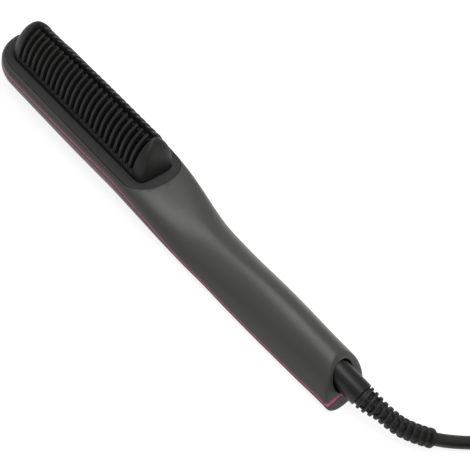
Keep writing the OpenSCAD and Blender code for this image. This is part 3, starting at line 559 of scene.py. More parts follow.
def lowerRing(x, share, inset):
    v = housing
    z0 = seam(x) - trimHalf(x)
    height = (z0 - keel(x) - (inset or rimInset(x))) * (v["noseKeelShare"] + (1 - v["noseKeelShare"]) * share)
    floor, soft = -v["land"] + inset, v["landSoft"]
    points = []
    for y, z in halfRing(x, share, inset, height, 2):
        over = (z0 - z - floor) / soft
        down = floor + soft * (over if over > 30 else math.log1p(math.exp(over)))
        points.append((sheared(x, down, inset), -y, down))
    return points


def shellMesh(ringOf):
    wall = housing["wall"]
    outer = [ringOf(x, share, 0) for x, share in stations(0)]
    inner = [ringOf(x, share, wall) for x, share in stations(wall)]
    count, rings = len(outer[0]), len(outer)
    points = [p for ring in outer + inner for p in ring]
    start, end = rings * count, count - 1
    faces = gridFaces(rings, count, closed=False) + gridFaces(rings, count, start, closed=False)
    for a in range(0, start - count, count):
        b = a + count
        faces.append((a, b, start + b, start + a))
        faces.append((a + end, b + end, start + b + end, start + a + end))
    last = start - count
    for first in (0, last, start, start + last):
        faces.append(tuple(range(first, first + count)))
    for first in (0, last):
        faces.append((first, start + first, start + first + end, first + end))
    return meshFrom(points, faces)


# Outlines seen from above
plate = {"front": 2.6, "rear": 136.4, "frontLen": 21, "rearLen": 14.4, "width": 39.6,
         "frontPower": 2.2, "rearPower": 2.2, "top": 14.9, "thick": 1.5, "seat": 0.08, "ledge": 1.2,
         "round": 0.25, "guardGap": 0.14, "rimSoft": 0.35, "cutFrom": 8, "cutTo": 30}
guard = {"count": 24, "pitch": 4.34, "gap": 1.9, "ribWidth": 2.05, "ribTaper": 0.16, "ribSpread": 1.06,
         "taperHeight": 24, "firstGap": 20.8, "width": 25.8, "top": 37.8, "lean": 4.8, "slot": 2.4,
         "depth": 4.2, "front": 6.9, "rear": 129.4, "railTop": 17.9, "tipDepth": 4.0, "tipRound": 0.6,
         "crestDrop": 2.2, "crestLen": 80.0, "shoulder": 0.66, "shoulderDrop": 3.2, "waistDrop": 11.3,
         "flare": 0.08, "flareFrom": 10.0, "flareLen": 100.0, "edgeRound": 0.5, "flangeGrow": 2.4,
         "flangeThick": 2.0, "flangeRound": 0.2, "frontPower": 2.1, "rearPower": 4.5,
         "endSteps": 54, "endArch": 60, "endAngle": 88.8, "endLeast": 0.02, "edge": 0.4,
         "edgeShare": 0.4, "outlineSteps": 56}
guard["base"] = plate["top"] - plate["thick"]
guard["firstRib"] = guard["firstGap"] - guard["gap"] / 2
guard["lastRib"] = guard["firstGap"] + (guard["count"] - 1) * guard["pitch"] + guard["gap"] / 2
guard["innerY"] = guard["width"] / 2 - guard["depth"]
guard["frontLen"] = guard["firstRib"] - guard["front"]
guard["rearLen"] = guard["rear"] - guard["lastRib"]
guardEnds = [{"start": guard["firstRib"], "side": -1, "reach": guard["frontLen"],
              "power": guard["frontPower"], "drop": -1.85, "sidePower": 1.7, "narrow": 0.2},
             {"start": guard["lastRib"], "side": 1, "reach": guard["rearLen"],
              "power": guard["rearPower"], "drop": 1.0, "sidePower": 2.1, "narrow": 0.0}]
opening = {"front": guard["firstRib"] + 0.3, "rear": guard["lastRib"] - 0.3, "frontLen": 2.5, "rearLen": 2.5,
           "width": 2 * guard["innerY"], "frontPower": 7, "rearPower": 7}


def outline(v, grow=0.0):
    # long outline with a rounded end at the nose and one at the rear
    ends = []
    for middle, length, power, side in ((v["rear"] - v["rearLen"], v["rearLen"], v["rearPower"], 1),
                                        (v["front"] + v["frontLen"], v["frontLen"], v["frontPower"], -1)):
        ys, xs = evenArch(v["width"] / 2 + grow, length + grow, power, guard["outlineSteps"])
        ends += [(middle + side * x, -side * y) for y, x in zip(ys, xs)]
    return ends


def guardRise(z):
    # 0 at the guard's foot and 1 at its top
    return clamped((z - guard["base"]) / (guard["top"] - guard["base"]))


def flared(x, y, z):
    # the guard's foot widens a little toward the nose
    g = guard
    return y * (1 + g["flare"] * (1 - guardRise(z)) * (1 - easeStep((x - g["flareFrom"]) / g["flareLen"])))


def lowered(x, z):
    # the ribs' crest sinks a little toward the nose
    return z - guard["crestDrop"] * guardRise(z) * (1 - easeStep(x / guard["crestLen"]))


def flareMesh(mesh):
    for vertex in mesh.vertices:
        x, y, z = (1000 * c for c in vertex.co)
        x, z = x + place["middle"], z - place["lift"]
        vertex.co.y = flared(x, y, z) / 1000
        vertex.co.z = (lowered(x, z) + place["lift"]) / 1000
    return mesh


def shiftedLoop(loop, distance):
    # moves a closed plane loop outwards along its own normals
    pts = np.array(loop, float)
    back, ahead = np.roll(pts, 1, 0), np.roll(pts, -1, 0)
    a, b = pts - back, ahead - pts
    a /= np.maximum(np.linalg.norm(a, axis=1, keepdims=True), 1e-9)
    b /= np.maximum(np.linalg.norm(b, axis=1, keepdims=True), 1e-9)
    n = np.stack([a[:, 1] + b[:, 1], -a[:, 0] - b[:, 0]], 1)
    length = np.maximum(np.linalg.norm(n, axis=1, keepdims=True), 1e-9)
    area = np.sum(pts[:, 0] * ahead[:, 1] - ahead[:, 0] * pts[:, 1])
    half = np.maximum(np.sqrt(np.clip((1 + np.sum(a * b, 1, keepdims=True)) / 2, 0, 1)), 0.5)
    return pts + n / length / half * distance * (1 if area > 0 else -1)


def roundedBand(outer, inner, low, high, radius):
    # flat ring between two outlines with the same number of points; its upper edges are rounded
    corner = roundings(radius, (0, 22.5, 45, 67.5, 90))
    profile = [(outer, 0, low)] + [(outer, -inward, high - down) for inward, down in corner]
    profile += [(inner, inward, high - down) for inward, down in reversed(corner)] + [(inner, 0, low)]
    rings = [[(p[0], p[1], z) for p in (shiftedLoop(loop, d) if d else loop)] for loop, d, z in profile]
    return loftMesh(rings, wrap=True)


def atHeight(loop, z):
    return [(p[0], p[1], z) for p in loop]


def noseShare(x):
    return math.sqrt(max(0.0, 1 - (1 - min(1.0, x / housing["noseLen"])) ** 2))


def crownHeight(x, y):
    # height of the upper shell's outer skin over the head
    share = noseShare(x)
    z0 = seam(x) + housing["trim"] / 2
    w = halfWidth(x) * share
    h = (crown(x) - z0) * between(housing["noseTopShare"], 1, share)
    p = crownPower(x)
    return z0 + h * max(0.0, 1 - min(1.0, abs(y) / max(w, 1e-6)) ** p) ** (1 / p)


def plateCutter():
    # the oval seat, the opening under it and a softened rim
    p, base = plate, guard["base"]
    steps = ((-p["ledge"], p["cutFrom"]), (-p["ledge"], base), (p["seat"], base))
    rings = [atHeight(outline(plate, grow), z) for grow, z in steps]
    seat = outline(plate, p["seat"])
    for out, down in roundings(p["rimSoft"], (0, 30, 60, 90)):
        rim = outline(plate, p["seat"] + out)
        rings.append([(a[0], a[1], crownHeight(*b) - down) for a, b in zip(rim, seat)])
    rings.append(atHeight(outline(plate, p["seat"] + p["rimSoft"]), p["cutTo"]))
    return loftMesh(rings)


# The round opening in the tail, cut from inside the grip to past the tail
outlet = {"radius": 7.95, "height": 7.6, "soft": 0.4, "trimSoft": 0.2, "sides": 96, "ring": 1.5,
          "lipDepth": 0.6, "cutFrom": 253, "cutTo": 295}


def tailFace(z):
    return housing["length"] - housing["slope"] * z


def roundPoints(r, sides):
    turns = [2 * math.pi * j / sides for j in range(sides)]
    return [(r * math.cos(a), r * math.sin(a)) for a in turns]


def outletRing(r, xOf):
    points = [(y, outlet["height"] + z) for y, z in roundPoints(r, outlet["sides"])]
    return [(xOf(z), y, z) for y, z in points]


def outletCutter(radius, soft):
    rings = [outletRing(radius, lambda z: outlet["cutFrom"])]
    for out, inward in roundings(soft, (0, 30, 60, 90) if soft else (90,)):
        rings.append(outletRing(radius + out, lambda z: tailFace(z) - inward + 0.01))
    rings.append(outletRing(radius + soft, lambda z: outlet["cutTo"]))
    return loftMesh(rings)


def recessCutter():
    # widens the opening behind the trim's visible rim
    r = outlet["radius"] + outlet["ring"]
    return loftMesh([outletRing(r, lambda z: outlet["cutFrom"]),
                     outletRing(r, lambda z: tailFace(z) - outlet["lipDepth"])])


upper = carve(shellMesh(upperRing),
              [("DIFFERENCE", plateCutter()), ("DIFFERENCE", outletCutter(outlet["radius"], outlet["soft"]))])
addPiece("upperShell", upper, "housing", "shell", ["upper_shell"], 38)


# Controls and screws on the underside
controls = {"powerX": 214.0, "pitch": 15.0, "powerR": 5.0, "tempR": 3.8, "gap": 0.25, "recess": 0.5,
            "flangeW": 0.9, "flangeT": 0.6, "floorGap": 0.1, "stemR": 1.7, "stemH": 0.2, "lensX": 170.0,
            "lensLen": 14.0, "lensW": 3.0, "lensGap": 0.1, "rimSoft": 0.25}
buttons = [("powerButton", "power_button", controls["powerR"], "power"),
           ("tempUpButton", "temp_up_button", controls["tempR"], "plus"),
           ("tempDownButton", "temp_down_button", controls["tempR"], "minus")]


def buttonAt(i):
    return controls["powerX"] - i * controls["pitch"]


screws = {"headR": 2.4, "headT": 1.8, "boreR": 2.7, "holeR": 1.6, "holeTop": 4, "threadR": 1.1, "postR": 4.0,
          "headSeat": 0.4, "shellSeat": -2.6, "trayBottom": 5.5, "headThread": 8.0, "shellThread": 9.0,
          "postFloor": -5, "postTop": -0.75, "threadPitch": 1.0, "threadDeep": 0.28, "crossLen": 2.6,
          "crossWidth": 0.62, "seed": 3, "turnMost": 3.14}
headPosts = [(9.5, 0), (126, 11.5), (126, -11.5)]
shellPosts = [(158, 12), (158, -12), (238, 11), (238, -11)]


def latheMesh(profile, centre, sides, convert=toFrame, axis="z"):
    # profile is (distance along the axis, radius); radius 0 closes it with one point
    points, faces, rings = [], [], []
    for height, radius in profile:
        ring = roundPoints(radius, sides if radius > 1e-9 else 1)
        rings.append(list(range(len(points), len(points) + len(ring))))
        points += [(x, y, height) for x, y in ring]
    for a, b in zip(rings, rings[1:]):
        for j in range(sides):
            k = (j + 1) % sides
            if len(a) == 1:
                faces.append((a[0], b[j], b[k]))
            elif len(b) == 1:
                faces.append((a[j], a[k], b[0]))
            else:
                faces.append((a[j], a[k], b[k], b[j]))
    if profile[0] != profile[-1]:
        faces += [tuple(ring) for ring in (rings[0], rings[-1]) if len(ring) > 1]
    if axis == "x":
        points = [(z, x, y) for x, y, z in points]
    return meshFrom([tuple(a + b for a, b in zip(p, centre)) for p in points], faces, convert)


def stadium(length, width, grow=0, steps=12):
    # long outline with round ends
    r = width / 2 + grow
    run = (length - width) / 2
    turns = [math.radians(a) for a in np.linspace(-90, 90, steps + 1)]
    right = [(run + r * math.cos(a), r * math.sin(a)) for a in turns]
    return right + [(-x, -y) for x, y in right]


def undersideCutters():
    # button holes, screw bores and the window for the lens
    v = screws
    land, soft = -housing["land"], controls["rimSoft"]
    cutters = []
    for i, (_, _, radius, _) in enumerate(buttons):
        r = radius + controls["gap"]
        hole = [(land - 1, r + soft), (land, r + soft), (land + soft * 0.4, r + soft * 0.4), (land + soft, r),
                (land + 6, r)]
        cutters.append(latheMesh(hole, (buttonAt(i), 0, 0), 64))
    shellBore = [(land - 1, v["boreR"] + soft), (land, v["boreR"] + soft), (land + soft, v["boreR"]),
                 (v["shellSeat"], v["boreR"]), (v["shellSeat"], v["holeR"]), (v["holeTop"], v["holeR"])]
    headBore = [(land - 3, v["boreR"]), (v["headSeat"], v["boreR"]), (v["headSeat"], v["holeR"]),
                (v["trayBottom"] + 1, v["holeR"])]
    for places, bore in ((shellPosts, shellBore), (headPosts, headBore)):
        cutters += [latheMesh(bore, (x, y, 0), 40) for x, y in places]
    rings = []
    for grow, z in ((soft, land - 1), (soft, land), (0, land + soft), (0, land + 5)):
        loop = stadium(controls["lensLen"], controls["lensW"], controls["lensGap"] + grow)
        rings.append([(controls["lensX"] + x, y, z) for x, y in loop])
    cutters.append(loftMesh(rings))
    return joinMeshes(cutters)


def postMeshes():
    # cut to a closed form that ends inside the lower shell's wall
    v = screws
    deep = housing["wall"] / 2
    within = loftMesh([lowerRing(x, share, deep) for x, share in stations(deep)])
    posts = []
    for places, low, high in ((headPosts, 0, v["trayBottom"]), (shellPosts, v["postFloor"], v["postTop"])):
        posts += [latheMesh([(low, v["postR"]), (high, v["postR"])], (x, y, 0), 40) for x, y in places]
    return carve(joinMeshes(posts), [("INTERSECT", within)])


lower = carve(shellMesh(lowerRing),
              [("UNION", postMeshes()), ("DIFFERENCE", undersideCutters()),
               ("DIFFERENCE", outletCutter(outlet["radius"] + outlet["ring"], 0.0))])
addPiece("lowerShell", lower, "housing", "shell", ["lower_shell"], 38)


# Pink trim in the seam, with the lip that dips under the round opening
trim = {"bulge": 0.28, "inset": 0.04, "rows": 9, "swell": 0.92, "lipGap": 0.05, "lipStart": -134,
        "lipTurn": 88, "lipSteps": 28}


def seamLoop(inset, height, inner):
    left = []
    for x, share in stations(inset):
        z = seam(x) + height * trimHalf(x)
        half = halfWidth(x) - (inset if inner else rimInset(x))
        left.append((sheared(x, z, inner), half * share, z))
    return left + [(p[0], -p[1], p[2]) for p in reversed(left)]


def trimMesh():
    rings = []
    for t in np.linspace(-1, 1, trim["rows"]):
        loop = seamLoop(0, t, False)
        inward = trim["inset"] + trim["bulge"] * (1 - math.sqrt(1 - trim["swell"] * t * t))
        flat = shiftedLoop([p[:2] for p in loop], -inward)
        rings.append([(q[0], q[1], p[2]) for p, q in zip(loop, flat)])
    rings += [seamLoop(housing["wall"], t, True) for t in (1, -1)]
    return loftMesh(rings, wrap=True)


def outletLip():
    gap = trim["lipGap"]
    inner, outer, deep = outlet["radius"] + gap, outlet["radius"] + outlet["ring"], outlet["lipDepth"]
    section = [(inner, deep), (inner, 0.25), (inner + 0.2, 0.05), (outer - 0.25, 0.05), (outer, 0.25),
               (outer, deep)]
    top = housing["tailTrim"] / 2 - gap
    rings = []
    for i in range(trim["lipSteps"] + 1):
        a = math.radians(trim["lipStart"] + trim["lipTurn"] * i / trim["lipSteps"])
        spots = [(r * math.cos(a), min(outlet["height"] + r * math.sin(a), top), back) for r, back in section]
        rings.append([(tailFace(z) - back, y, z) for y, z, back in spots])
    return loftMesh(rings)


trimBand = carve(trimMesh(), [("DIFFERENCE", outletCutter(outlet["radius"], outlet["trimSoft"])),
                              ("DIFFERENCE", recessCutter())])
addPiece("trimStrip", joinMeshes([trimBand, outletLip()]), "housing", "trim", ["trim_strip"], 50)

guardSeat = [(x, flared(x, y, guard["base"])) for x, y in outline(guard, plate["guardGap"])]
bezel = roundedBand(outline(plate), guardSeat, guard["base"], plate["top"], plate["round"])
addPiece("bezelPlate", bezel, "housing", "bezel", ["bezel_plate"])


def bow(w, top, t):
    # the guard's bowed side: (across, up) from its foot at t = 0 to its crest at t = 1
    g, u = guard, 1 - t
    shoulderY, shoulderZ = g["shoulder"] * w, top - g["shoulderDrop"]
    y = w * u ** 3 + 3 * w * u * u * t + 3 * shoulderY * u * t * t + g["slot"] / 2 * t ** 3
    z = g["base"] * u ** 3 + 3 * (top - g["waistDrop"]) * u * u * t + 3 * shoulderZ * u * t * t + top * t ** 3
    return (y, z)


def bowAt(z, top):
    # how far across the bowed side is at a height
    low, high = 0.0, 1.0
    for _ in range(30):
        mid = (low + high) / 2
        if bow(guard["width"] / 2, top, mid)[1] < z:
            low = mid
        else:
            high = mid
    return bow(guard["width"] / 2, top, low)[0]


def leaned(p):
    # leans a point toward the nose about the guard's foot
    a = math.radians(guard["lean"])
    x, z = p[0], p[2] - guard["base"]
    return (x * math.cos(a) - z * math.sin(a), p[1], guard["base"] + x * math.sin(a) + z * math.cos(a))


def leanAt(z):
    return (z - guard["base"]) * math.tan(math.radians(guard["lean"]))


def ribSection():
    g = guard
    outer = [bow(g["width"] / 2, g["top"], t) for t in np.linspace(0, 1, 36)]
    tip = [(outer[-1][0] + aside, g["top"] - down)
           for down, aside in roundings(g["tipRound"], (0, 22.5, 45, 67.5, 90))]
    inner = [bow(g["innerY"], g["top"] - g["tipDepth"], t) for t in np.linspace(1, 0, 30)]
    return [p for p in outer[:-1] if p[0] > tip[0][0] + 0.02] + tip + inner


def ribRings():
    # one rib of one side, centred on x = 0 with rounded long edges
    g, section = guard, ribSection()
    corner = roundings(g["edgeRound"], (0, 25, 50, 70, 90))
    layers = [(out - g["ribWidth"] / 2, inset) for out, inset in corner]
    layers += [(-x, inset) for x, inset in reversed(layers)]
    rings = []
    for x, inset in layers:
        ring = []
        for y, z in shiftedLoop(section, -inset):
            thinner = g["ribSpread"] - g["ribTaper"] * (z - g["base"]) / g["taperHeight"]
            ring.append(leaned((x * thinner, y, z)))
        rings.append(ring)
    return rings


def bakeCopies(name, mesh, inputs, lay, finish, base=None):
    # sets copies of a mould on points with Geometry Nodes and keeps the plain mesh; the inputs are
    # (kind, value), and lay gives the points and how each copy is turned and sized
    mould = addObject("mould", mesh)
    tree = bpy.data.node_groups.new(name, "GeometryNodeTree")
    inputs = {**inputs, "Mould": ("Object", mould), "Finish": ("Material", finishes[finish])}
    settings = {}
    for label, (kind, value) in inputs.items():
        socket = tree.interface.new_socket(name=label, in_out="INPUT", socket_type="NodeSocket" + kind)
        if value is not None:
            settings[socket.identifier] = value
    tree.interface.new_socket(name="Geometry", in_out="OUTPUT", socket_type="NodeSocketGeometry")
    given = {socket.name: Pen(tree, socket) for socket in tree.nodes.new("NodeGroupInput").outputs}
    pen = Pen(tree)
    shape = pen.make("GeometryNodeObjectInfo", {"Object": given["Mould"]}, out="Geometry")
    copies = pen.make("GeometryNodeInstanceOnPoints", {"Instance": shape, **lay(pen, given)})
    real = pen.make("GeometryNodeRealizeInstances", {0: copies})
    dressed = pen.make("GeometryNodeSetMaterial", {"Geometry": real, "Material": given["Finish"]})
    tree.links.new(dressed.socket, tree.nodes.new("NodeGroupOutput").inputs[0])
    holder = addObject(name, base or bpy.data.meshes.new(name))
    modifier = holder.modifiers.new("nodes", "NODES")
    modifier.node_group = tree
    for identifier, value in settings.items():
        modifier[identifier] = value
    made = bakeObject(holder)
    bpy.data.objects.remove(mould)
    return made


def layRibs(pen, given):
    start = pen.make("ShaderNodeCombineXYZ", {"X": given["First place"]})
    step = pen.make("ShaderNodeCombineXYZ", {"X": given["Pitch"]})
    line = {"Count": given["Rib count"], "Start Location": start, "Offset": step}
    return {"Points": pen.make("GeometryNodeMeshLine", line, {"mode": "OFFSET"})}


def makeRibs():
    g, rings = guard, ribRings()
    pair = [loftMesh([[(x, side * y, z) for x, y, z in ring] for ring in rings], convert=toMetres)
            for side in (1, -1)]
    first = g["firstGap"] + g["pitch"] / 2 - place["middle"]
    inputs = {"Rib count": ("Int", g["count"] - 1), "Pitch": ("Float", g["pitch"] / 1000),
              "First place": ("Float", first / 1000)}
    mesh = bakeCopies("ribs", joinMeshes(pair), inputs, layRibs, "guard")
    mesh.transform(Matrix.Translation((0, 0, place["lift"] / 1000)))
    return mesh


def guardEnd(v):
    # a solid end: at each height an arch whose foot corners are rounded
    g = guard
    top = g["top"] - v["drop"]
    rings = []
    for a in np.linspace(0, g["endAngle"], g["endSteps"]):
        share = math.sin(math.radians(a))
        z = g["base"] + (top - g["base"]) * share
        reach = v["reach"] * (1 - share ** v["sidePower"]) ** (1 / v["sidePower"])
        half = bowAt(z, top) * (1 - v["narrow"] * share ** 3)
        r = min(g["edge"], half * g["edgeShare"], reach * g["edgeShare"])
        corner = [(out, half - inward) for out, inward in roundings(r, (0, 30, 60))]
        ys, xs = evenArch(half, max(reach, g["endLeast"]), v["power"], g["endArch"])
        ys, xs = zip(*[(y, x) for y, x in zip(ys, xs) if x > r])
        run = runOf(xs, ys)
        at = np.linspace(0, run[-1], g["endArch"] + 1)
        arch = list(zip(np.interp(at, run, xs), np.interp(at, run, ys)))
        loop = corner + arch + [(x, -y) for x, y in reversed(corner)]
        rings.append([(v["start"] + v["side"] * x - leanAt(z), y, z) for x, y in loop])
    return loftMesh(rings)


def sideRail(side):
    # the foot that the ribs of one side stand on, flush with their outsides
    g = guard
    top, inner = g["railTop"], g["innerY"]
    section = [(bowAt(z, g["top"]), z) for z in np.linspace(g["base"], top - 0.5, 6)]
    edge = bowAt(top, g["top"])
    section += [(edge - 0.02, top - 0.25), (edge - 0.12, top - 0.07), (edge - 0.3, top), (inner + 0.2, top),
                (inner, top - 0.2), (inner, g["base"])]
    rings = [[(x - leanAt(z), side * y, z) for y, z in section]
             for x in (g["firstRib"] - 1, g["lastRib"] + 1)]
    return loftMesh(rings)


guardParts = [guardEnd(v) for v in guardEnds] + [sideRail(1), sideRail(-1)] + [
    roundedBand(outline(guard, guard["flangeGrow"]), outline(opening), guard["base"] - guard["flangeThick"],
                guard["base"], guard["flangeRound"]),
]
for name, mesh in (("guardFrame", joinMeshes(guardParts)), ("guardRibs", makeRibs())):
    addPiece(name, flareMesh(mesh), "housing", "guard", ["comb_guard"])


swivel = {"end": 290.9, "radius": 6.5, "outerR": 6.85, "stepAt": 264.0, "stepLen": 0.4, "flangeFront": 249.0,
          "flangeLen": 2.5, "flangeR": 7.4, "flangeEdge": 0.2, "spindleFront": 233.4, "spindleR": 3.0,
          "spindleEdge": 0.3, "bore": 3.4, "boreDeep": 1.2, "height": 7.6, "sides": 72}


def barrelMesh():
    s = swivel
    tip, front, edge, out, end = s["spindleFront"], s["flangeFront"], s["flangeEdge"], s["outerR"], s["end"]
    back = front + s["flangeLen"]
    profile = [(tip, 0), (tip, s["spindleR"] - s["spindleEdge"]), (tip + s["spindleEdge"], s["spindleR"]),
               (front, s["spindleR"]), (front, s["flangeR"] - edge), (front + edge, s["flangeR"]),
               (back - edge, s["flangeR"]), (back, s["flangeR"] - edge), (back, s["radius"]),
               (s["stepAt"], s["radius"]), (s["stepAt"] + s["stepLen"], out), (end - 0.5, out),
               (end - 0.25, out - 0.08), (end - 0.07, out - 0.25), (end, out - 0.5), (end, s["bore"]),
               (end - s["boreDeep"], s["bore"] - 0.1), (end - s["boreDeep"], 0)]
    return latheMesh(profile, (0, 0, s["height"]), s["sides"], axis="x")


addPiece("swivelBarrel", barrelMesh(), "cord_swivel", "swivel", ["swivel_barrel"], 35)

# The strain relief follows the lead's first stretch.
relief = {"rings": 12, "firstRing": 1.5, "pitch": 3.2, "pitchGrowth": 0.05, "startR": 6.7, "tailR": 5.2,
          "taperLen": 12.5, "ringWidth": 1.5, "edge": 0.2, "floorShare": 0.6, "startDrop": 1.1,
          "bridgeDrop": 0.6, "windows": 4, "windowHalf": 39.0, "windowLen": 1.05, "windowEdge": (0.8, 0.3),
          "turnStart": 78.0, "turnEnd": 36.6, "untwist": (4.0, 11.0), "sides": 72, "coreSteps": 220,
          "knots": 12, "pathSteps": 120, "look": 0.4}


def catmull(points, samples):
    # smooth path through the points
    out = []
    n = len(points)
    for k in range(samples + 1):
        u = k * (n - 1) / samples
        i = min(int(u), n - 2)
        t = u - i
        a, b, c, d = (np.array(points[min(max(j, 0), n - 1)], float) for j in (i - 1, i, i + 1, i + 2))
        out.append(0.5 * (2 * b + (c - a) * t + (2 * a - 5 * b + 4 * c - d) * t * t
                          + (3 * b - a - 3 * c + d) * t ** 3))
    return np.array(out)


firstStretch = [tuple(1000 * c for c in p) for p in leadPoints()[:relief["knots"]]]
reliefPath = catmull(firstStretch, relief["pathSteps"])
reliefRun = np.concatenate(([0], np.cumsum(np.linalg.norm(np.diff(reliefPath, axis=0), axis=1))))


def reliefAt(s):
    s = min(max(s, 0), reliefRun[-1])
    return np.array([np.interp(s, reliefRun, reliefPath[:, i]) for i in range(3)])


def reliefRing(s, radiusAt):
    # points round the path at a distance along it; radiusAt gives the radius at an angle in degrees
    on = min(max(s, 0), reliefRun[-1])
    step = reliefAt(on + relief["look"]) - reliefAt(on - relief["look"])
    axis = step / np.linalg.norm(step)
    side = np.cross((0, 0, 1), axis)
    side /= np.linalg.norm(side)
    up = np.cross(axis, side)
    at = reliefAt(on) + axis * (s - on)
    ring = []
    for j in range(relief["sides"]):
        angle = 360 * j / relief["sides"]
        a = math.radians(angle)
        ring.append(at + radiusAt(angle) * (math.cos(a) * side + math.sin(a) * up))
    return ring


def reliefRadius(s):
    return relief["tailR"] + (relief["startR"] - relief["tailR"]) * (1 - easeStep(s / relief["taperLen"]))


def ringPlace(k):
    return relief["firstRing"] + relief["pitch"] * k + relief["pitchGrowth"] * k * k


def sleeveMesh(profile):
    # a turned shape that follows the relief's path: profile is (distance, radius)
    return loftMesh([reliefRing(s, lambda angle: r) for s, r in profile], convert=toMetres)


def coreMesh():
    # the tube under the rings, with oval windows sunk in it between each two rings; they turn a little
    r, step = relief, 360 / relief["windows"]
    middles = [(ringPlace(k) + ringPlace(k + 1)) / 2 for k in range(r["rings"] - 1)]
    rings = []
    for s in np.linspace(0, ringPlace(r["rings"] - 1), r["coreSteps"]):
        near = min(middles, key=lambda m: abs(m - s))
        turn = between(r["turnStart"], r["turnEnd"], passed(near, r["untwist"]))
        drop = between(r["startDrop"], r["bridgeDrop"], passed(s, r["untwist"]))
        radius = reliefRadius(s)

        def windowed(angle):
            off = (angle - turn + step / 2) % step - step / 2
            oval = math.sqrt((off / r["windowHalf"]) ** 2 + ((s - near) / r["windowLen"]) ** 2)
            sunk = 1 - easeStep(passed(oval, r["windowEdge"]))
            return radius - drop - (radius * (1 - r["floorShare"]) - drop) * sunk

        rings.append(reliefRing(s, windowed))
    return loftMesh(rings, convert=toMetres)


def toothMesh():
    # one ring of unit radius with rounded rims, along +X
    half, soft, unit = relief["ringWidth"] / 2, relief["edge"], relief["tailR"]
    rise = [(-half, relief["floorShare"] - 0.05), (-half, 1 - soft / unit),
            (-half + soft * 0.3, 1 - soft * 0.3 / unit), (-half + soft, 1)]
    profile = rise + [(-x, radius) for x, radius in reversed(rise)] + rise[:1]
    mesh = latheMesh(profile, (0, 0, 0), relief["sides"], tuple, "x")
    mesh.transform(Matrix.Diagonal((0.001, 1, 1, 1)))
    return mesh


def layRings(pen, given):
    line = pen.make("GeometryNodeMeshToCurve", {0: given["Path"]})
    heading = pen.make("GeometryNodeInputTangent")
    turned = pen.make("FunctionNodeAxesToRotation", {"Primary Axis": heading, "Secondary Axis": (0, 0, 1)},
                      {"primary_axis": "X", "secondary_axis": "Z"})
    share = pen.make("GeometryNodeSplineParameter", out="Factor")
    taper = {"Value": share, "From Max": given["Taper share"], "To Min": given["Start radius"],
             "To Max": given["Tail radius"]}
    radius = pen.make("ShaderNodeMapRange", taper, {"interpolation_type": "SMOOTHSTEP"})
    size = pen.make("ShaderNodeCombineXYZ", {"X": 1.0, "Y": radius, "Z": radius})
    return {"Points": line, "Rotation": turned, "Scale": size}


def makeRelief():
    r = relief
    last, start, rim = ringPlace(r["rings"] - 1), r["startR"], r["tailR"]
    path = bpy.data.meshes.new("relief_path")
    path.from_pydata([toMetres(reliefAt(ringPlace(k))) for k in range(r["rings"])],
                     [(k, k + 1) for k in range(r["rings"] - 1)], [])
    inputs = {"Path": ("Geometry", None), "Start radius": ("Float", reliefRadius(r["firstRing"]) / 1000),
              "Tail radius": ("Float", rim / 1000), "Taper share": ("Float", r["taperLen"] / last)}
    rings = bakeCopies("rings", toothMesh(), inputs, layRings, "relief", path)
    collar = sleeveMesh([(-0.9, 3.4), (-0.9, start - 1.5), (-0.3, start - 1.3), (0.2, start - 1.2),
                         (0.4, start - 1.2), (0.55, start - 1.3), (0.6, start - 1.6), (0.4, 3.4)])
    end = last + 0.6
    cap = sleeveMesh([(end - 2.2, 3.3), (end - 2.0, rim - 0.8), (end - 1.5, rim - 0.05),
                      (end - 0.8, rim + 0.05), (end - 0.2, rim - 0.12), (end + 0.2, rim - 0.6),
                      (end + 0.35, 4.0), (end + 0.2, 3.4)])
    return joinMeshes([coreMesh(), rings, collar, cap])


reliefPiece = addPiece("strainRelief", makeRelief(), "cord_swivel", "relief",
                       ["strain_relief"])


# Plug, its pins and the tie round the coil
plugValues = {"rear": (294.497, 31.938), "floor": 21.0, "length": 36.0, "width": 26.0, "height": 13.7,
              "neckWidth": 12.0, "neckHeight": 10.7, "swell": (2, 13), "neckPower": 2.4, "bodyPower": 4.6,
              "ends": 3.0, "tuck": 1.8, "tuckFlat": 0.8, "grips": 5, "gripDepth": 0.5, "gripSpan": (13, 18),
              "pinR": 2.0, "pinLen": 18.99, "pinRoot": -1, "sleeveR": 2.02, "sleeveLen": 9.0,
              "spread": 19.0, "steps": 72, "sides": 64, "pinSides": 32}


def plugPoint(forward, side, up):
    # the plug points toward -Y
    x, y = plugValues["rear"]
    return (x + side, y - forward, plugValues["floor"] + up)


def plugMesh():
    v = plugValues
    rings = []
    for i in range(v["steps"] + 1):
        f = v["length"] * i / v["steps"]
        swell = easeStep(passed(f, v["swell"]))
        wide = v["neckWidth"] / 2 + (v["width"] - v["neckWidth"]) / 2 * swell
        tall = v["neckHeight"] / 2 + (v["height"] - v["neckHeight"]) / 2 * swell
        power = v["neckPower"] + (v["bodyPower"] - v["neckPower"]) * swell
        near = min(1.0, min(f, v["length"] - f) / v["ends"])
        tuck = (1 - math.sqrt(1 - (1 - near) ** 2)) * v["tuck"]
        wave = clamped(passed(f, v["gripSpan"])) * 2 * math.pi * v["grips"]
        grip = v["gripDepth"] * 0.5 * (1 - math.cos(wave))
        ring = []
        for c, s in roundPoints(1, v["sides"]):
            y = (wide - tuck - grip * abs(c) ** 3) * math.copysign(abs(c) ** (2 / power), c)
            z = (tall - tuck * v["tuckFlat"]) * math.copysign(abs(s) ** (2 / power), s)
            ring.append(plugPoint(f, y, tall + z))
        rings.append(ring)
    return loftMesh(rings, convert=toMetres)


def onPlug(profile):
    # the same turned form at both pins, along the way the plug points
    v = plugValues
    meshes = []
    for side in (1, -1):
        mesh = latheMesh(profile, (0, 0, 0), v["pinSides"], tuple)
        spot = toMetres(plugPoint(v["length"], side * v["spread"] / 2, v["height"] / 2))
        turned = Matrix.Rotation(math.radians(90), 4, "X")
        mesh.transform(Matrix.Translation(spot) @ turned @ Matrix.Scale(0.001, 4))
        meshes.append(mesh)
    return meshes


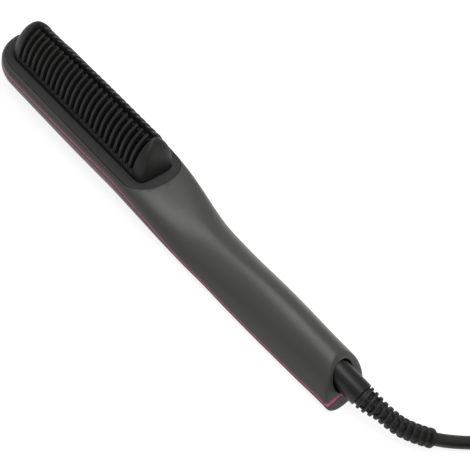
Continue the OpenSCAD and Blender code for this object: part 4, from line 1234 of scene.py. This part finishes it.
def pinProfile():
    v = plugValues
    root, r, tip = v["pinRoot"], v["pinR"], v["pinLen"]
    return [(root, 0), (root, r - 0.02), (tip - 1.4, r), (tip - 0.7, r - 0.2), (tip - 0.2, r - 0.8),
            (tip, r - 1.4), (tip, 0)]


def sleeveProfile():
    # the insulating sleeve at the foot of a pin
    root, r, end = plugValues["pinRoot"], plugValues["sleeveR"], plugValues["sleeveLen"]
    return [(root, 0), (root, r), (end - 0.4, r), (end, r - 0.04), (end, 0)]


plug = addPiece("plugBody", joinMeshes([plugMesh()] + onPlug(sleeveProfile())),
                "cord_swivel", "plug", ["plug_body"])
pins = addPiece("plugPins", joinMeshes(onPlug(pinProfile())), "cord_swivel", "pin",
                ["plug_pins"])

tie = {"turn": -110.0, "width": 8.0, "thick": 0.9, "innerR": 34.0, "outerR": 48.0, "height": 21.0,
       "corner": 3.2, "slack": 0.05, "floorThick": 0.55, "flapIn": 0.4}


def tieSpot(r, across, z):
    cx, cy = lead["coilMiddle"]
    a = math.radians(tie["turn"])
    return (cx + r * math.cos(a) - across * math.sin(a), cy + r * math.sin(a) + across * math.cos(a), z)


def tieMesh():
    # strap round the six strands; its end lies over itself on the outside
    t, corner = tie, tie["corner"]
    low, high, top = t["innerR"] + corner, t["outerR"] - corner, t["height"] - corner
    loop = []
    for cx, cz, start in ((high, corner, -90), (high, top, 0), (low, top, 90), (low, corner, 180)):
        for a in range(0, 91, 15):
            b = math.radians(start + a)
            loop.append((cx + corner * math.cos(b), cz + corner * math.sin(b)))
    outer, inner = shiftedLoop(loop, t["thick"]), shiftedLoop(loop, t["slack"])
    outer[:, 1] = np.maximum(outer[:, 1], t["slack"])
    inner[:, 1] = np.maximum(inner[:, 1], t["floorThick"])
    half = t["width"] / 2
    strap = [[tieSpot(r, across, z) for r, z in edge]
             for edge, across in ((inner, -half), (outer, -half), (outer, half), (inner, half))]
    section = ((4, 0.85), (4.3, 0.98), (14, 0.98), (15, 0.95), (15, 0.5), (4, 0.5))
    flap = [[tieSpot(t["outerR"] + out, across, z) for z, out in section]
            for across in (-half + t["flapIn"], half - t["flapIn"])]
    return joinMeshes([loftMesh(strap, wrap=True, convert=toMetres), loftMesh(flap, convert=toMetres)])


tieBand = addPiece("coilTie", tieMesh(), "cord_swivel", "button", ["coil_tie"], 50)

cord.data.materials.append(finishes["cord"])
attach(cord, "cord_swivel")
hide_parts("cord_lead", "cord_coil", "cord_tail")


# The marks are (length, width, along, how far above the button's lowest face)
marks = {"bar": (3.0, 0.7, 0, 0.33), "cross": (3.0, 0.7, 0, 0.345), "stroke": (1.9, 0.6, -1.3, 0.3),
         "arcR": 1.75, "arcHalf": 0.32, "arcTall": 0.14, "arcSink": 0.03, "arcSpan": (35, 325),
         "arcSteps": 40}


def quarterTurned(loop):
    return [(-b, a) for a, b in loop]


def markBar(x, low, mark, turned=False, foot=((1, 0.1), (1, -0.12), (0.9, -0.18))):
    length, width, shift, rise = marks[mark]
    loop = stadium(length, width, steps=8)
    loop = quarterTurned(loop) if turned else loop
    rings = [[(x + shift + a * k, b * k, low + rise + up) for a, b in loop] for k, up in foot]
    return loftMesh(rings)


def powerArc(x, z):
    rings = []
    for a in np.radians(np.linspace(*marks["arcSpan"], marks["arcSteps"])):
        section = []
        for c in np.radians(range(0, 360, 45)):
            r = marks["arcR"] + marks["arcHalf"] * math.cos(c)
            up = marks["arcTall"] * math.sin(c)
            section.append((x - r * math.cos(a), r * math.sin(a), z - marks["arcSink"] + up))
        rings.append(section)
    return loftMesh(rings)


def buttonMesh(x, r, mark):
    v = controls
    low = -housing["land"] + v["recess"]
    floor = -housing["land"] + housing["wall"] + v["floorGap"]
    top = floor + v["flangeT"]
    profile = [(low + 0.35, 0), (low + 0.33, r * 0.4), (low + 0.22, r * 0.7), (low + 0.05, r * 0.88),
               (low, r * 0.94), (low + 0.05, r - 0.12), (low + 0.2, r - 0.02), (low + 0.35, r), (floor, r),
               (floor, r + v["flangeW"]), (top, r + v["flangeW"]), (top, v["stemR"]),
               (top + v["stemH"], v["stemR"]), (top + v["stemH"], 0)]
    parts = [latheMesh(profile, (x, 0, 0), 64)]
    if mark == "power":
        parts.append(powerArc(x, low + marks["stroke"][3]))
        parts.append(markBar(x, low, "stroke", foot=((1, 0.1), (1, -0.1), (0.9, -0.17))))
    else:
        parts.append(markBar(x, low, "bar"))
    if mark == "plus":
        parts.append(markBar(x, low, "cross", True))
    return joinMeshes(parts)


for i, (name, node, r, mark) in enumerate(buttons):
    addPiece(name, buttonMesh(buttonAt(i), r, mark), node, "button", [node], 35)


def screwMould(threadLen):
    # pan head at the bottom with a cross recess, thread upwards; the origin is at the head's face
    v = screws
    r, h, outer, root = v["headR"], v["headT"], v["threadR"], v["threadR"] - v["threadDeep"]
    profile = [(0, 0), (0, r - 0.7), (0.12, r - 0.35), (0.4, r - 0.08), (0.7, r), (h, r), (h, outer)]
    for turn in range(int(threadLen / v["threadPitch"])):
        z = h + turn * v["threadPitch"]
        profile += [(z + 0.2, root), (z + 0.5, outer), (z + 0.7, root)]
    profile += [(h + threadLen - 0.2, root), (h + threadLen, 0)]
    cross = stadium(v["crossLen"], v["crossWidth"], steps=4)
    steps = []
    for loop in (cross, quarterTurned(cross)):
        rings = [atHeight(loop, -0.5), [(a * 0.7, b * 0.9, 0.9) for a, b in loop]]
        steps.append(("DIFFERENCE", loftMesh(rings, convert=tuple)))
    mesh = carve(latheMesh(profile, (0, 0, 0), 24, tuple), steps, 2e-3)
    mesh.transform(Matrix.Scale(0.001, 4))
    return mesh


def layScrews(pen, given):
    # each screw stops at its own angle; input 3 is the largest of them
    angle = pen.make("FunctionNodeRandomValue", {"Seed": given["Seed"], 3: screws["turnMost"]},
                     {"data_type": "FLOAT"}, 1)
    spin = pen.make("FunctionNodeAxisAngleToRotation", {"Axis": (0, 0, 1), "Angle": angle})
    return {"Points": given["Places"], "Rotation": spin}


for name, node, places, seat, thread in (
        ("headScrews", "head_screws", headPosts, screws["headSeat"], screws["headThread"]),
        ("shellScrews", "shell_screws", shellPosts, screws["shellSeat"], screws["shellThread"])):
    spots = bpy.data.meshes.new("places")
    spots.from_pydata([toFrame((x, y, seat - screws["headT"])) for x, y in places], [], [])
    inputs = {"Places": ("Geometry", None), "Seed": ("Int", screws["seed"])}
    mesh = bakeCopies(name, screwMould(thread), inputs, layScrews, "steel", spots)
    addPiece(name, mesh, "housing", "steel", [node], 35)

# Solids that stay as they are get a finish.
kept = {"heated": ["heating_comb"], "tray": ["heater_tray", "swivel_socket"], "mica": ["mica_sheet"],
        "ceramic": ["ceramic_heater", "thermal_fuse", "brush_block"], "whiteWire": ["heater_wires"],
        "steel": ["spring_clip", "tray_screws", "board_screws"], "brownWire": ["mains_wires"],
        "component": ["thermistor", "tact_switches", "electrolytic_capacitor", "triac"],
        "board": ["circuit_board", "terminal_block"], "clear": ["status_leds", "light_pipe"],
        "film": ["film_capacitor", "sensor_wires"], "brass": ["contact_brushes", "slip_rings"]}
for finish, nodes in kept.items():
    for node in nodes:
        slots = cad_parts[node].data.materials
        if not len(slots):
            slots.append(finishes[finish])
        for i in range(len(slots)):
            slots[i] = finishes[finish]
print("kept solids finished")


studio = {"floorSize": 6.0, "floorColour": (150, 150, 150), "floorRough": 0.9, "floorGlow": 0.84, "sky": 0.5}
lamps = {"softbox": {"at": (0.01, 0.02, 0.5), "aim": (0.02, 0.0, 0.0), "width": 0.2, "length": 0.62,
                     "twist": 15.0, "power": 1.7}}
white = (1, 1, 1, 1)


def passRays(pen):
    # 1 where the camera, a mirror or glass looks at it
    camera, glossy, through = (pen.make("ShaderNodeLightPath", out=name) for name in
                               ("Is Camera Ray", "Is Glossy Ray", "Is Transmission Ray"))
    return pen.maths("MAXIMUM", pen.maths("MAXIMUM", camera, glossy), through)


def endWith(tree, kind, socket):
    end = next(n for n in tree.nodes if n.type == kind)
    tree.links.new(socket, end.inputs["Surface"])


def makeFloor():
    # a grey floor that looks nearly white to the camera
    half = studio["floorSize"] / 2
    mesh = bpy.data.meshes.new("floor")
    corners = [(-half, -half, 0), (half, -half, 0), (half, half, 0), (-half, half, 0)]
    mesh.from_pydata(corners, [], [(0, 1, 2, 3)])
    addObject("floor", mesh)
    material, pen, shader = newMaterial("paper_floor")
    shader.inputs["Base Color"].default_value = linear(studio["floorColour"])
    shader.inputs["Roughness"].default_value = studio["floorRough"]
    glow = pen.make("ShaderNodeEmission", {"Color": white, "Strength": studio["floorGlow"]})
    seen = pen.make("ShaderNodeMixShader", {0: passRays(pen), 2: glow})
    both = pen.make("ShaderNodeAddShader", {0: Pen(pen.tree, shader.outputs[0]), 1: seen})
    endWith(pen.tree, "OUTPUT_MATERIAL", both.socket)
    mesh.materials.append(material)


def makeSky():
    # soft white light, and plain white to the camera
    world = bpy.data.worlds.new("sky")
    world.use_nodes = True
    scene.world = world
    pen = Pen(world.node_tree)
    back = next(n for n in pen.tree.nodes if n.type == "BACKGROUND")
    back.inputs["Color"].default_value = white
    back.inputs["Strength"].default_value = studio["sky"]
    plain = pen.make("ShaderNodeBackground", {"Color": white, "Strength": 1.0})
    camera = pen.make("ShaderNodeLightPath", out="Is Camera Ray")
    mix = pen.make("ShaderNodeMixShader", {0: camera, 1: Pen(pen.tree, back.outputs[0]), 2: plain})
    endWith(pen.tree, "OUTPUT_WORLD", mix.socket)


def makeLamps():
    for name, v in lamps.items():
        data = bpy.data.lights.new(name, "AREA")
        data.shape = "RECTANGLE"
        data.size = v["width"]
        data.size_y = v["length"]
        data.energy = v["power"]
        lamp = addObject(name, data)
        lamp.location = v["at"]
        lamp.rotation_mode = "QUATERNION"
        aimed = (Vector(v["aim"]) - Vector(v["at"])).to_track_quat("-Z", "Y")
        lamp.rotation_quaternion = aimed @ Quaternion((0, 0, 1), math.radians(v["twist"]))


makeFloor()
makeSky()
makeLamps()
scene.view_settings.view_transform = "Standard"
print("studio set")
